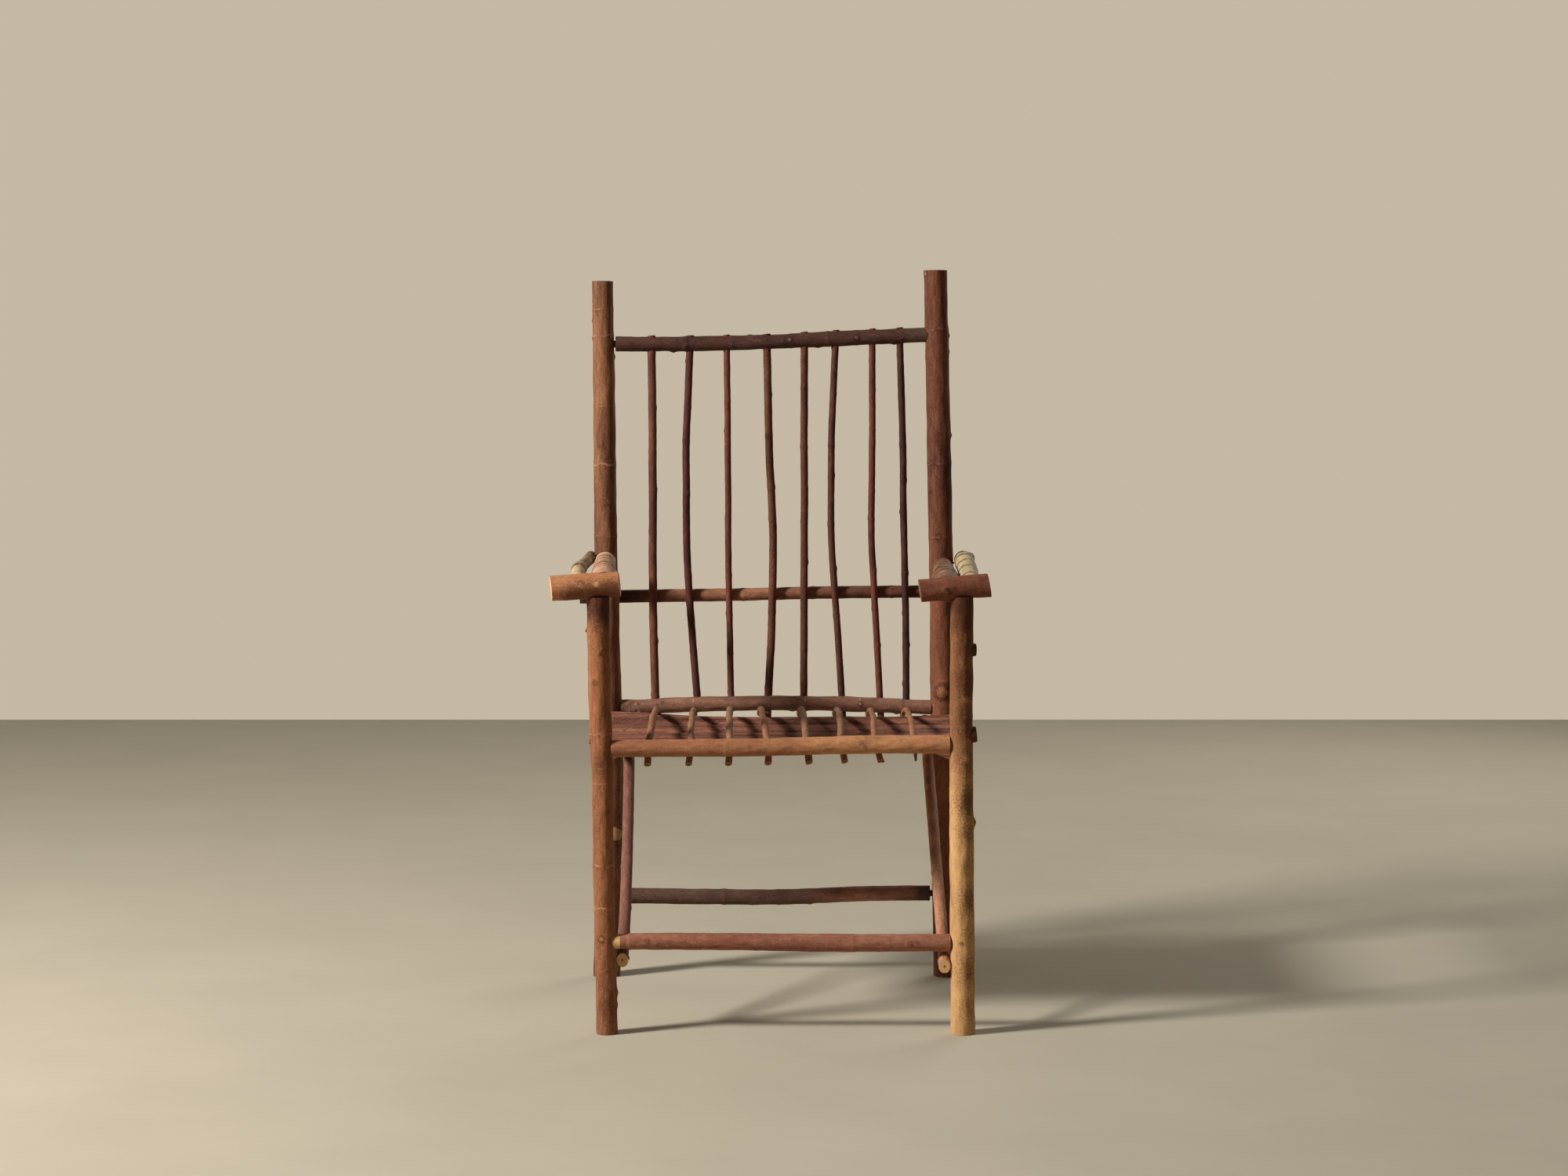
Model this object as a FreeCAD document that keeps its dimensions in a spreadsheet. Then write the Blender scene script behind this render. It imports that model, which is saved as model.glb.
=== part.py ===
import FreeCAD, Part
import os
import re
from collections import namedtuple

# A rustic armchair of round sticks with their bark on, in millimetres. X runs to the right as seen from
# the front, Y runs from the front legs to the back and Z is up. The front legs stand on Y = 0 while the
# chair is put together, and at the end the whole chair moves so that the origin lies on the floor under
# its middle. Left and right are as seen from the front.

SIZES = [
    # plan and heights of the frame, from stick axis to stick axis
    ("front_width", 527, "front legs at seat height"),
    ("back_width", 530.6, "rear posts at seat height"),
    ("back_offset", -7.8, "middle of the back from the middle of the front"),
    ("seat_depth", 430, "front legs to rear posts"),
    ("back_lean", 30, "how far the rear posts lean back at the top"),
    ("back_height_left", 1101, "top of the left rear post"),
    ("back_height_right", 1118, "top of the right rear post"),
    ("arm_height_left", 661.5, "left arm over its front leg"),
    ("arm_height_right", 658.5, "right arm over its front leg"),
    ("seat_rail_height", 426, "front seat rail"),
    ("seat_rail_rise", 5, "right end of the front seat rail over its left end"),
    ("back_seat_rail_height", 427.5, "back seat rail at its ends"),
    ("side_rail_height", 388, "side seat rails"),
    ("mid_rail_height", 605, "stick behind the spindles"),
    ("mid_rail_rise", 8.5, "right end of the mid rail over its left end"),
    ("crest_height", 1010, "top stick of the back"),
    ("crest_rise", 14.5, "right end of the crest rail over its left end"),
    ("front_stretcher_height", 137, "low stick in front"),
    ("front_stretcher_rise", -2.5, "right end of the front stretcher over its left end"),
    ("rear_stretcher_height", 130.5, "low stick at the back"),
    ("rear_stretcher_rise", 4, "right end of the rear stretcher over its left end"),
    ("brace_low_height", 109, "side brace at the front leg"),
    ("brace_high_height", 395, "side brace at the rear post"),
    # stick thicknesses
    ("rear_post_thickness", 40, "rear posts at seat height"),
    ("front_leg_thickness", 33.5, "front legs at their thickest bark"),
    ("crest_thickness", 23.5, "crest rail"),
    ("mid_rail_thickness", 19, "mid rail"),
    ("back_seat_rail_thickness", 24, "back seat rail"),
    ("seat_rail_thickness", 26, "front seat rail"),
    ("side_rail_thickness", 24, "side seat rails"),
    ("front_stretcher_thickness", 24.5, "front stretcher"),
    ("rear_stretcher_thickness", 24.5, "rear stretcher"),
    ("brace_thickness", 17.5, "side braces"),
    ("spindle_thickness", 12, "spindles"),
    ("twig_thickness", 10.5, "bent seat twigs"),
    ("crosspiece_thickness_left", 36.5, "left arm cross-piece"),
    ("crosspiece_thickness_right", 33, "right arm cross-piece"),
    ("inner_arm_thickness", 38, "inner arm sticks at their front end"),
    ("outer_arm_thickness_left", 18.5, "left outer arm stick"),
    ("outer_arm_thickness_right", 29, "right outer arm stick"),
    ("slab_thickness", 17, "split seat slabs at their crown"),
    # lengths past a neighbour
    ("crosspiece_outer_reach_left", 69.5, "left cross-piece outside its leg's axis"),
    ("crosspiece_inner_reach_left", 32, "left cross-piece inside its leg's axis"),
    ("crosspiece_outer_reach_right", 44.5, "right cross-piece outside its leg's axis"),
    ("crosspiece_inner_reach_right", 61.5, "right cross-piece inside its leg's axis"),
    ("mid_rail_left_reach", 44, "mid rail past the left post's axis"),
    ("mid_rail_right_reach", 30, "mid rail past the right post's axis"),
    ("outer_arm_back_reach", 12, "outer arm sticks behind the rear post's axis"),
    ("brace_front_reach", 6, "side brace in front of the front leg's axis"),
    ("brace_back_reach", 16, "side brace behind the rear post's axis"),
    ("inner_arm_drop_left", 0.5, "fall of the left inner arm stick to the post"),
    ("inner_arm_drop_right", 6, "fall of the right inner arm stick to the post"),
    ("spindle_crown", 2.5, "spindle ends above the crest rail"),
    ("twig_tail", 12, "straight end of a seat twig under the back seat rail"),
    ("twig_front_spring", 30, "stiffness of a seat twig's bend at the front"),
    ("twig_back_spring", 92, "stiffness of a seat twig's bend at the back"),
    ("slab_front_room", 10, "room between the seat twigs and the first slab"),
    ("slab_back_room", 6, "room between the last slab and the rear posts"),
    ("slab_gap", 3, "gap between two slabs"),
    ("slab_overhang", 7, "ends of the slabs past the axis of the side seat rails"),
    ("knee_height", 256, "front leg's waist"),
    # joinery
    ("rail_tenon_thickness", 17, "round tenons of the rails and stretchers"),
    ("rail_tenon_length", 18, "tenon inside the mortise"),
    ("rail_shoulder", 3.5, "whittled taper from bark to tenon"),
    ("long_shoulder", 9, "the long bare taper on the front stretcher's left end"),
    ("leg_tenon_thickness", 17, "tenon on the top of a front leg"),
    ("leg_tenon_length", 11, "front leg's tenon inside the cross-piece"),
    ("arm_tenon_thickness", 13, "tenons of the inner arm sticks"),
    ("arm_tenon_length", 14, "arm tenon inside the mortise"),
    ("outer_arm_tenon_thickness", 10, "front tenons of the outer arm sticks"),
    ("tenon_root", 8, "how deep a tenon starts inside its own stick"),
    ("fit_clearance", 0.15, "air round a tenon or a spindle in its hole"),
    ("hole_end_gap", 1, "air at the bottom of a blind hole"),
    ("rest_gap", 0.3, "air between two sticks that lie on each other"),
    ("cut_overrun", 5, "how far every cutter runs past the wood"),
    ("nail_thickness", 2.6, "nail shank"),
    ("nail_head_thickness", 6.5, "nail head"),
    ("nail_head_height", 1.2, "nail head"),
    ("nail_bite", 12, "nail in the post or leg that it is driven into"),
]

VECTOR = FreeCAD.Vector
RIGHT, BACK, UP = VECTOR(1, 0, 0), VECTOR(0, 1, 0), VECTOR(0, 0, 1)
LEFT, FORWARD = VECTOR(-1, 0, 0), VECTOR(0, -1, 0)
SIDES = {"left": -1, "right": 1}
THICK_STICK_SIDES = 16  # sticks are drawn many-sided, with a corner towards each neighbour
THIN_STICK_SIDES = 12
NAIL_SIDES = 8
HALF_TURN = 180

Ring = namedtuple("Ring", "x y z radius")
Rail = namedtuple("Rail", "left right height rise thickness shape")

document = FreeCAD.newDocument("TwigChair")
sheet = document.addObject("Spreadsheet::Sheet", "Sizes")
for row, (alias, value, meaning) in enumerate(SIZES, start=1):
    sheet.set(f"A{row}", meaning)
    sheet.set(f"B{row}", str(value))
    sheet.setAlias(f"B{row}", alias)
document.recompute()

ALIASES = {alias for alias, _, _ in SIZES}
pieces = []


# Formulas of the sheet


def bind(item, setting, formula):
    """Ties one setting of an object to a formula written in the names of the sheet."""
    with_sheet = re.sub(r"[a-z_]+", lambda word: f"Sizes.{word[0]}" if word[0] in ALIASES else word[0],
                        formula)
    item.setExpression(setting, with_sheet)


def number(formula):
    """The present value of a formula."""
    return float(sheet.evalExpression(formula))


def place(item, x, y, z):
    bind(item, "Placement.Base.x", x)
    bind(item, "Placement.Base.y", y)
    bind(item, "Placement.Base.z", z)


def between(start, end, share):
    """The formula of a value that lies at a share of the way from start to end."""
    return f"(({start}) + ({share}) * (({end}) - ({start})))"


def on_shape(shape, share, column):
    """A value at a share of a stick's length, on straight lines between the rows of its shape table."""
    for low, high in zip(shape, shape[1:]):
        if share <= high[0]:
            return low[column] + (share - low[0]) / (high[0] - low[0]) * (high[column] - low[column])
    return shape[-1][column]


# Sticks, bores and nails


def stick(name, rings, facing=None, sides=THICK_STICK_SIDES):
    """A round stick: a loft that runs straight from ring to ring.

    Each ring stands square to facing, or square to the line between its neighbours.
    """
    middles = [VECTOR(number(ring.x), number(ring.y), number(ring.z)) for ring in rings]
    sections = []
    for index, ring in enumerate(rings):
        section = document.addObject("Part::RegularPolygon", f"{name}_ring_{index}")
        section.Polygon = sides
        bind(section, "Circumradius", ring.radius)
        along = facing or middles[min(index + 1, len(rings) - 1)] - middles[max(index - 1, 0)]
        section.Placement.Rotation = FreeCAD.Rotation(UP, along)
        place(section, ring.x, ring.y, ring.z)
        sections.append(section)
    loft = document.addObject("Part::Loft", f"{name}_stick")
    loft.Sections = sections
    loft.Solid = True
    loft.Ruled = True
    return loft


def grown(rings, extra):
    """The same rings with a larger radius, for the hole or hollow that a stick fits."""
    return [ring._replace(radius=f"{ring.radius} + {extra}") for ring in rings]


def peg(name, start, facing, radius, length, sides=THIN_STICK_SIDES):
    """A straight pin or bore from a start point along facing, many-sided like the sticks."""
    pin = document.addObject("Part::Prism", name)
    pin.Polygon = sides
    bind(pin, "Circumradius", radius)
    bind(pin, "Height", length)
    pin.Placement.Rotation = FreeCAD.Rotation(UP, facing)
    place(pin, *start)
    return pin


def stub(name, start, facing, radius, length):
    """What is left of a pruned side branch: a cone that narrows to half its base."""
    cone = document.addObject("Part::Cone", name)
    bind(cone, "Radius1", radius)
    bind(cone, "Radius2", f"({radius}) / 2")
    bind(cone, "Height", length)
    cone.Placement.Rotation = FreeCAD.Rotation(UP, facing)
    place(cone, *start)
    return cone


def cut(name, wood, cutters):
    """Takes cutters that don't meet each other out of the wood in one cut."""
    tools = document.addObject("Part::Compound", f"{name}_cutters")
    tools.Links = cutters
    rest = document.addObject("Part::Cut", name)
    rest.Base = wood
    rest.Tool = tools
    return rest


def joined(name, wood, extras):
    whole = document.addObject("Part::MultiFuse", name)
    whole.Shapes = [wood] + extras
    return whole


def finish(name, wood):
    """Marks an object as one sub-part of the chair."""
    wood.Label = name
    pieces.append((name, wood))


def nail(name, entry, facing, depth):
    """A nail whose head lies on the bark at the entry point."""
    x, y, z = entry
    back = {"x": x, "y": y, "z": z}
    for axis, amount in zip("xyz", facing):
        if amount:
            back[axis] = f"{back[axis]} - ({amount}) * nail_head_height"
    head = peg(f"{name}_head", back.values(), facing, "nail_head_thickness / 2", "nail_head_height",
               NAIL_SIDES)
    shank = peg(f"{name}_shank", entry, facing, "nail_thickness / 2", depth, NAIL_SIDES)
    return joined(name, head, [shank])


def nail_hole(name, entry, facing, depth):
    """The hole for a nail, open at the bark and a little deeper than the nail."""
    x, y, z = entry
    mouth = {"x": x, "y": y, "z": z}
    for axis, amount in zip("xyz", facing):
        if amount:
            mouth[axis] = f"{mouth[axis]} - ({amount}) * cut_overrun"
    return peg(name, mouth.values(), facing, "nail_thickness / 2 + fit_clearance",
               f"{depth} + cut_overrun + hole_end_gap", NAIL_SIDES)


# The four uprights

# For each level: height, share of the lean, then sway and thickness shares for the left and the right
# post. Sway counts in rear post thicknesses, outwards to the right.
REAR_POST_LEVELS_SHARE = {
    "foot": ("0", 0, (-0.11, 1.08), (0.17, 1.05)),
    "stretcher": ("rear_stretcher_height", 0, (-0.06, 1.05), (0.11, 1.05)),
    "seat": ("back_seat_rail_height", 0, (0, 1), (0, 1)),
    "mid": ("mid_rail_height", 0.2, (-0.06, 0.95), (-0.06, 0.95)),
    "arm": ("arm_height_SIDE", 0.28, (-0.1, 0.91), (-0.09, 0.95)),
    "crest": ("crest_height", 0.85, (-0.2, 0.84), (-0.23, 0.93)),
    "top": ("back_height_SIDE", 1, (-0.23, 0.82), (-0.26, 0.92)),
}

# Sway counts in front leg thicknesses.
FRONT_LEG_LEVELS_SHARE = {
    "foot": ("0", (0.26, 0.95), (0.14, 1.06)),
    "stretcher": ("front_stretcher_height", (0.17, 0.92), (0.09, 1.07)),
    "knee": ("knee_height", (0.09, 0.89), (0.05, 1.07)),
    "seat": ("seat_rail_height", (0, 0.97), (0, 1.01)),
    "arm": ("arm_height_SIDE", (-0.11, 1), (0.01, 0.96)),
}


def rear_post_ring(side, level):
    height, lean_share, *sides_share = REAR_POST_LEVELS_SHARE[level]
    sway_share, thickness_share = sides_share[side == "right"]
    return Ring(
        f"back_offset + ({SIDES[side]}) * back_width / 2 + ({sway_share}) * rear_post_thickness",
        f"seat_depth + {lean_share} * back_lean",
        height.replace("SIDE", side),
        f"{thickness_share} * rear_post_thickness / 2",
    )


def front_leg_ring(side, level):
    height, *sides_share = FRONT_LEG_LEVELS_SHARE[level]
    sway_share, thickness_share = sides_share[side == "right"]
    return Ring(
        f"({SIDES[side]}) * front_width / 2 + ({sway_share}) * front_leg_thickness",
        "0",
        height.replace("SIDE", side),
        f"{thickness_share} * front_leg_thickness / 2",
    )


# Rails and stretchers between two uprights

# Each row: share of the way across, lift and thickness, both as shares of the rail's own thickness.
CREST_SHAPE_SHARE = [(0, 0, 1), (0.2, -0.12, 1), (0.5, -0.17, 0.97), (0.72, -0.06, 1.02), (1, 0, 1)]
BACK_SEAT_SHAPE_SHARE = [(0, 0, 0.98), (0.25, 0.22, 1), (0.5, 0.3, 0.96), (0.75, 0.22, 1), (1, 0, 0.94)]
FRONT_SEAT_SHAPE_SHARE = [(0, -0.06, 0.96), (0.4, -0.08, 1), (0.75, 0.03, 1.02), (1, 0, 1.04)]
FRONT_STRETCHER_SHAPE_SHARE = [(0, 0, 0.96), (0.3, 0.03, 0.98), (0.65, -0.03, 1.04), (1, 0.02, 1)]
REAR_STRETCHER_SHAPE_SHARE = [(0, 0, 1.02), (0.5, -0.2, 1), (0.8, 0.02, 0.98), (1, 0, 0.98)]
MID_SHAPE_SHARE = [(0, -0.05, 1.04), (0.45, -0.02, 1), (0.65, 0.06, 0.99), (1, 0, 0.97)]

RAILS = {
    "crest_rail": Rail(rear_post_ring("left", "crest"), rear_post_ring("right", "crest"),
                       "crest_height", "crest_rise", "crest_thickness", CREST_SHAPE_SHARE),
    "back_seat_rail": Rail(rear_post_ring("left", "seat"), rear_post_ring("right", "seat"),
                           "back_seat_rail_height", "0", "back_seat_rail_thickness",
                           BACK_SEAT_SHAPE_SHARE),
    "front_seat_rail": Rail(front_leg_ring("left", "seat"), front_leg_ring("right", "seat"),
                            "seat_rail_height", "seat_rail_rise", "seat_rail_thickness",
                            FRONT_SEAT_SHAPE_SHARE),
    "front_stretcher": Rail(front_leg_ring("left", "stretcher"), front_leg_ring("right", "stretcher"),
                            "front_stretcher_height", "front_stretcher_rise",
                            "front_stretcher_thickness", FRONT_STRETCHER_SHAPE_SHARE),
    "rear_stretcher": Rail(rear_post_ring("left", "stretcher"), rear_post_ring("right", "stretcher"),
                           "rear_stretcher_height", "rear_stretcher_rise",
                           "rear_stretcher_thickness", REAR_STRETCHER_SHAPE_SHARE),
}
LONG_SHOULDERS = {("front_stretcher", "left")}


def rail_ring(name, share):
    """The ring of a rail at a share of the clear width between its two uprights."""
    rail = RAILS[name]
    left_face = f"{rail.left.x} + {rail.left.radius}"
    right_face = f"{rail.right.x} - {rail.right.radius}"
    return Ring(
        between(left_face, right_face, share),
        rail.left.y,
        f"{rail.height} + ({share - 1 / 2}) * ({rail.rise})"
        f" + ({on_shape(rail.shape, share, 1)}) * {rail.thickness}",
        f"{on_shape(rail.shape, share, 2)} * {rail.thickness} / 2",
    )


def make_rail(name):
    """A rail with a whittled round tenon on each end. Returns its mortises for the two uprights."""
    rail = RAILS[name]
    rings = [rail_ring(name, row[0]) for row in rail.shape]
    bark_ends = []
    mortises = {}
    for side, ring in (("left", rings[0]), ("right", rings[-1])):
        inwards = -SIDES[side]
        shoulder = "long_shoulder" if (name, side) in LONG_SHOULDERS else "rail_shoulder"
        tenon = ring._replace(radius="rail_tenon_thickness / 2")
        bark_end = ring._replace(x=f"{ring.x} + ({inwards}) * {shoulder}")
        tenon_end = tenon._replace(x=f"{ring.x} - ({inwards}) * rail_tenon_length")
        bark_ends.append([tenon_end, tenon, bark_end])
        mortises[side] = peg(
            f"{name}_{side}_mortise",
            (f"{ring.x} + ({inwards}) * cut_overrun", ring.y, ring.z),
            LEFT if side == "left" else RIGHT,
            "rail_tenon_thickness / 2 + fit_clearance",
            "rail_tenon_length + hole_end_gap + cut_overrun",
            THICK_STICK_SIDES,
        )
    left_end, right_end = bark_ends
    return stick(name, left_end + rings[1:-1] + right_end[::-1], RIGHT), mortises


# Spindles of the back

# Each row: place on the back seat rail and on the crest rail as shares of their clear widths, thickness
# share, then the sideways sway at each height of SPINDLE_HEIGHTS_SHARE in spindle thicknesses.
SPINDLES_SHARE = [
    (0.113, 0.12, 1.1, (-0.25, -0.2, 0)),
    (0.25, 0.243, 0.99, (-0.7, -1.15, -0.85)),
    (0.356, 0.362, 0.87, (-0.1, -0.15, 0)),
    (0.472, 0.49, 1.05, (0.6, 0.85, 0.25)),
    (0.59, 0.61, 1, (0, 0.05, 0)),
    (0.716, 0.711, 0.92, (-0.5, -1.15, -0.85)),
    (0.839, 0.829, 0.9, (-0.35, -0.75, -0.3)),
    (0.92, 0.917, 0.93, (0.2, 0.15, 0.2)),
]
SPINDLE_HEIGHTS_SHARE = (0.21, 0.44, 0.74)
SPINDLE_BOW_SHARE = (0.9, 1.15, 0.4)
MID_RAIL_ON_SPINDLE_SHARE = 0.3
# How far each spindle reaches under the middle of the back seat rail, in rail thicknesses.
SPINDLE_REACH_SHARE = (0.42, 0.42, 0.42, 0.85, 0.42, 0.8, 0.95, 0.42)

mid_rail_y = (f"seat_depth + {REAR_POST_LEVELS_SHARE['mid'][1]} * back_lean"
              f" + {rear_post_ring('left', 'mid').radius} + rest_gap + mid_rail_thickness / 2")


def spindle_rings(index):
    foot_share, head_share, thickness_share, sway_share = SPINDLES_SHARE[index]
    foot = rail_ring("back_seat_rail", foot_share)
    head = rail_ring("crest_rail", head_share)
    radius = f"{thickness_share} * spindle_thickness / 2"
    front_of_mid_rail = f"{mid_rail_y} - mid_rail_thickness / 2 - rest_gap - {radius}"
    bow = f"({front_of_mid_rail} - {between(foot.y, head.y, MID_RAIL_ON_SPINDLE_SHARE)})"
    reach = f"{SPINDLE_REACH_SHARE[index]} * back_seat_rail_thickness"
    rings = [Ring(foot.x, foot.y, f"{foot.z} - {reach}", radius)]
    for height_share, bow_share, sway in zip(SPINDLE_HEIGHTS_SHARE, SPINDLE_BOW_SHARE, sway_share):
        rings.append(Ring(
            f"{between(foot.x, head.x, height_share)} + ({sway}) * spindle_thickness",
            f"{between(foot.y, head.y, height_share)} + {bow_share} * {bow}",
            between(foot.z, head.z, height_share),
            radius,
        ))
    rings.append(Ring(head.x, head.y, f"{head.z} + {head.radius} + spindle_crown", radius))
    return rings


def make_spindles():
    """The spindles, and their holes in the back seat rail and in the crest rail."""
    foot_holes, head_holes = [], []
    for index in range(len(SPINDLES_SHARE)):
        name = f"spindle_{index + 1}"
        rings = spindle_rings(index)
        finish(name, stick(name, rings, UP, THIN_STICK_SIDES))
        roomy = grown(rings, "fit_clearance")
        lower = roomy[0]._replace(z=f"{roomy[0].z} - hole_end_gap")
        upper = roomy[-1]._replace(z=f"{roomy[-1].z} + hole_end_gap")
        foot_holes.append(stick(f"{name}_foot_hole", [lower, roomy[1]], UP, THIN_STICK_SIDES))
        head_holes.append(stick(f"{name}_head_hole", [roomy[-2], upper], UP, THIN_STICK_SIDES))
    return foot_holes, head_holes


# Arms: a cross-piece on each front leg, and two sticks from it to the rear post

# Lift and forward swing of the outer and the inner end, in cross-piece thicknesses.
CROSSPIECE_ENDS_SHARE = {"left": ((-0.14, -0.27), (0.06, 0.12)), "right": ((0.14, 0.09), (-0.19, -0.12))}
CROSSPIECE_THICKNESS_SHARE = [(0, 1.03), (0.35, 1), (0.7, 1.02), (1, 0.99)]
INNER_ARM_ON_CROSSPIECE_SHARE = {"left": 0.74, "right": 0.63}
OUTER_ARM_ON_CROSSPIECE_SHARE = {"left": 0.38, "right": 0.28}

# Each row: share of the way to the rear post, sway and thickness in the stick's own thicknesses.
INNER_ARM_SHAPE_SHARE = {
    "left": [(0, 0, 1), (0.35, -0.02, 0.93), (0.7, -0.03, 0.82), (1, 0, 0.73)],
    "right": [(0, 0, 1.03), (0.35, 0.03, 0.98), (0.7, 0.02, 0.87), (1, 0, 0.8)],
}
OUTER_ARM_SHAPE_SHARE = {
    "left": [(0, 0, 1), (0.3, -0.4, 0.98), (0.5, -0.62, 1.02), (0.56, -0.64, 1.12), (0.62, -0.55, 0.96),
             (1, 0, 0.92)],
    "right": [(0, 0, 0.98), (0.3, -0.03, 1), (0.65, 0.03, 0.97), (1, 0, 1)],
}
INNER_ARM_POST_OFFSET_SHARE = {"left": -0.1, "right": 0.03}  # in rear post thicknesses
ARM_NAIL_SHARE = 0.975
ARM_START_SHARE = 0.6  # where the arm sticks start behind a cross-piece's axis, as a share of its radius


def crosspiece_ring(side, share):
    """The ring of a cross-piece at a share of the way from its outer to its inner end."""
    leg = front_leg_ring(side, "arm")
    outwards = SIDES[side]
    thickness = f"crosspiece_thickness_{side}"
    outer_share, inner_share = CROSSPIECE_ENDS_SHARE[side]
    lift_share = outer_share[0] + share * (inner_share[0] - outer_share[0])
    swing_share = outer_share[1] + share * (inner_share[1] - outer_share[1])
    return Ring(
        between(f"{leg.x} + ({outwards}) * crosspiece_outer_reach_{side}",
                f"{leg.x} - ({outwards}) * crosspiece_inner_reach_{side}", share),
        f"({swing_share}) * {thickness}",
        f"{leg.z} + ({lift_share}) * {thickness}",
        f"{on_shape(CROSSPIECE_THICKNESS_SHARE, share, 1)} * {thickness} / 2",
    )


def crosspiece_rings(side):
    return [crosspiece_ring(side, row[0]) for row in CROSSPIECE_THICKNESS_SHARE]


def inner_arm_rings(side):
    front = crosspiece_ring(side, INNER_ARM_ON_CROSSPIECE_SHARE[side])
    post = rear_post_ring(side, "arm")
    front_y = f"{front.y} + {ARM_START_SHARE} * {front.radius}"
    back_y = f"{post.y} - {post.radius} / 2"
    back_x = f"{post.x} + ({INNER_ARM_POST_OFFSET_SHARE[side]}) * rear_post_thickness"
    return [
        Ring(f"{between(front.x, back_x, share)} + ({sway}) * inner_arm_thickness",
             between(front_y, back_y, share),
             between(front.z, f"{post.z} - inner_arm_drop_{side}", share),
             f"{thickness_share} * inner_arm_thickness / 2")
        for share, sway, thickness_share in INNER_ARM_SHAPE_SHARE[side]
    ]


def outer_arm_ring(side, share):
    front = crosspiece_ring(side, OUTER_ARM_ON_CROSSPIECE_SHARE[side])
    post = rear_post_ring(side, "arm")
    thickness = f"outer_arm_thickness_{side}"
    shape = OUTER_ARM_SHAPE_SHARE[side]
    back_x = f"{post.x} + ({SIDES[side]}) * ({post.radius} + rest_gap + {shape[-1][2]} * {thickness} / 2)"
    front_y = f"{front.y} + {ARM_START_SHARE} * {front.radius}"
    return Ring(
        f"{between(front.x, back_x, share)} + ({on_shape(shape, share, 1)}) * {thickness}",
        between(front_y, f"{post.y} + outer_arm_back_reach", share),
        between(front.z, post.z, share),
        f"{on_shape(shape, share, 2)} * {thickness} / 2",
    )


def make_arm(side):
    """The arm of one side. Returns the cutters that it needs in its front leg and its rear post."""
    post = rear_post_ring(side, "arm")
    crosspiece = grown(crosspiece_rings(side), "rest_gap")
    inner = inner_arm_rings(side)
    outer = [outer_arm_ring(side, row[0]) for row in OUTER_ARM_SHAPE_SHARE[side]]
    post_rings = [rear_post_ring(side, level) for level in ("mid", "arm", "crest")]
    post_hollow = stick(f"arm_{side}_post_hollow", grown(post_rings, "rest_gap"), UP)
    crosspiece_mortises = [leg_tenon(side, f"arm_{side}_leg_mortise", "fit_clearance", "hole_end_gap")]

    front = crosspiece_ring(side, INNER_ARM_ON_CROSSPIECE_SHARE[side])
    name = f"arm_inner_{side}"
    coped = cut(f"{name}_coped", stick(name, inner, BACK),
                [stick(f"{name}_front_hollow", crosspiece), post_hollow])
    back_y = f"{post.y} - {post.radius}"
    front_start = (front.x, f"{front.y} + {front.radius} + tenon_root", front.z)
    back_start = (inner[-1].x, f"{back_y} - tenon_root", inner[-1].z)
    tenon_radius = "arm_tenon_thickness / 2"
    bore_radius = f"{tenon_radius} + fit_clearance"
    tenon_length = "tenon_root + arm_tenon_length"
    tenons = [peg(f"{name}_front_tenon", front_start, FORWARD, tenon_radius, tenon_length),
              peg(f"{name}_back_tenon", back_start, BACK, tenon_radius, tenon_length)]
    finish(name, joined(name, coped, tenons))
    bore_length = f"{tenon_length} + hole_end_gap"
    crosspiece_mortises.append(
        peg(f"{name}_front_mortise", front_start, FORWARD, bore_radius, bore_length))
    post_mortise = peg(f"{name}_back_mortise", back_start, BACK, bore_radius, bore_length)

    front = crosspiece_ring(side, OUTER_ARM_ON_CROSSPIECE_SHARE[side])
    name = f"arm_outer_{side}"
    hollows = [stick(f"{name}_front_hollow", crosspiece)]
    front_start = (front.x, f"{front.y} + {front.radius} + tenon_root", front.z)
    tenon_radius = "outer_arm_tenon_thickness / 2"
    tenon = peg(f"{name}_front_tenon", front_start, FORWARD, tenon_radius, tenon_length)
    crosspiece_mortises.append(
        peg(f"{name}_front_mortise", front_start, FORWARD, f"{tenon_radius} + fit_clearance",
            bore_length))
    coped = cut(f"{name}_coped", stick(name, outer, BACK), hollows)
    nailed = outer_arm_ring(side, ARM_NAIL_SHARE)
    entry = (f"{nailed.x} + ({SIDES[side]}) * ({nailed.radius} + fit_clearance)", nailed.y, nailed.z)
    depth = f"2 * {nailed.radius} + rest_gap + nail_bite"
    inwards = LEFT if side == "right" else RIGHT
    hole = nail_hole(f"{name}_nail_hole", entry, inwards, depth)
    extras = [tenon]
    if side == "right":
        end = outer[-1]
        extras.append(stub(f"{name}_stub", (end.x, f"{end.y} - 3 * {end.radius}", end.z),
                           VECTOR(1, 0, 1), f"{end.radius} / 2", f"1.35 * {end.radius}"))
    finish(name, cut(name, joined(f"{name}_whole", coped, extras), [hole]))

    name = f"arm_crosspiece_{side}"
    finish(name, cut(name, stick(name, crosspiece_rings(side)), crosspiece_mortises))

    leg_hollows = [stick(f"leg_{side}_hollow_{index}", rings, facing) for index, (rings, facing) in
                   enumerate([(crosspiece, None), (grown(inner, "rest_gap"), BACK),
                              (grown(outer, "rest_gap"), BACK)])]
    arm_nail = nail(f"arm_nail_{side}", entry, inwards, depth)
    return leg_hollows, [post_mortise, hole], arm_nail


def leg_tenon(side, name, extra_radius="0", extra_length="0"):
    """The tenon on the top of a front leg, or with the extras its mortise in the cross-piece."""
    leg = front_leg_ring(side, "arm")
    root = f"{leg.z} - crosspiece_thickness_{side} / 2 - tenon_root"
    return peg(name, (leg.x, leg.y, root), UP, f"leg_tenon_thickness / 2 + {extra_radius}",
               f"tenon_root + leg_tenon_length + {extra_length}")


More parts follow.
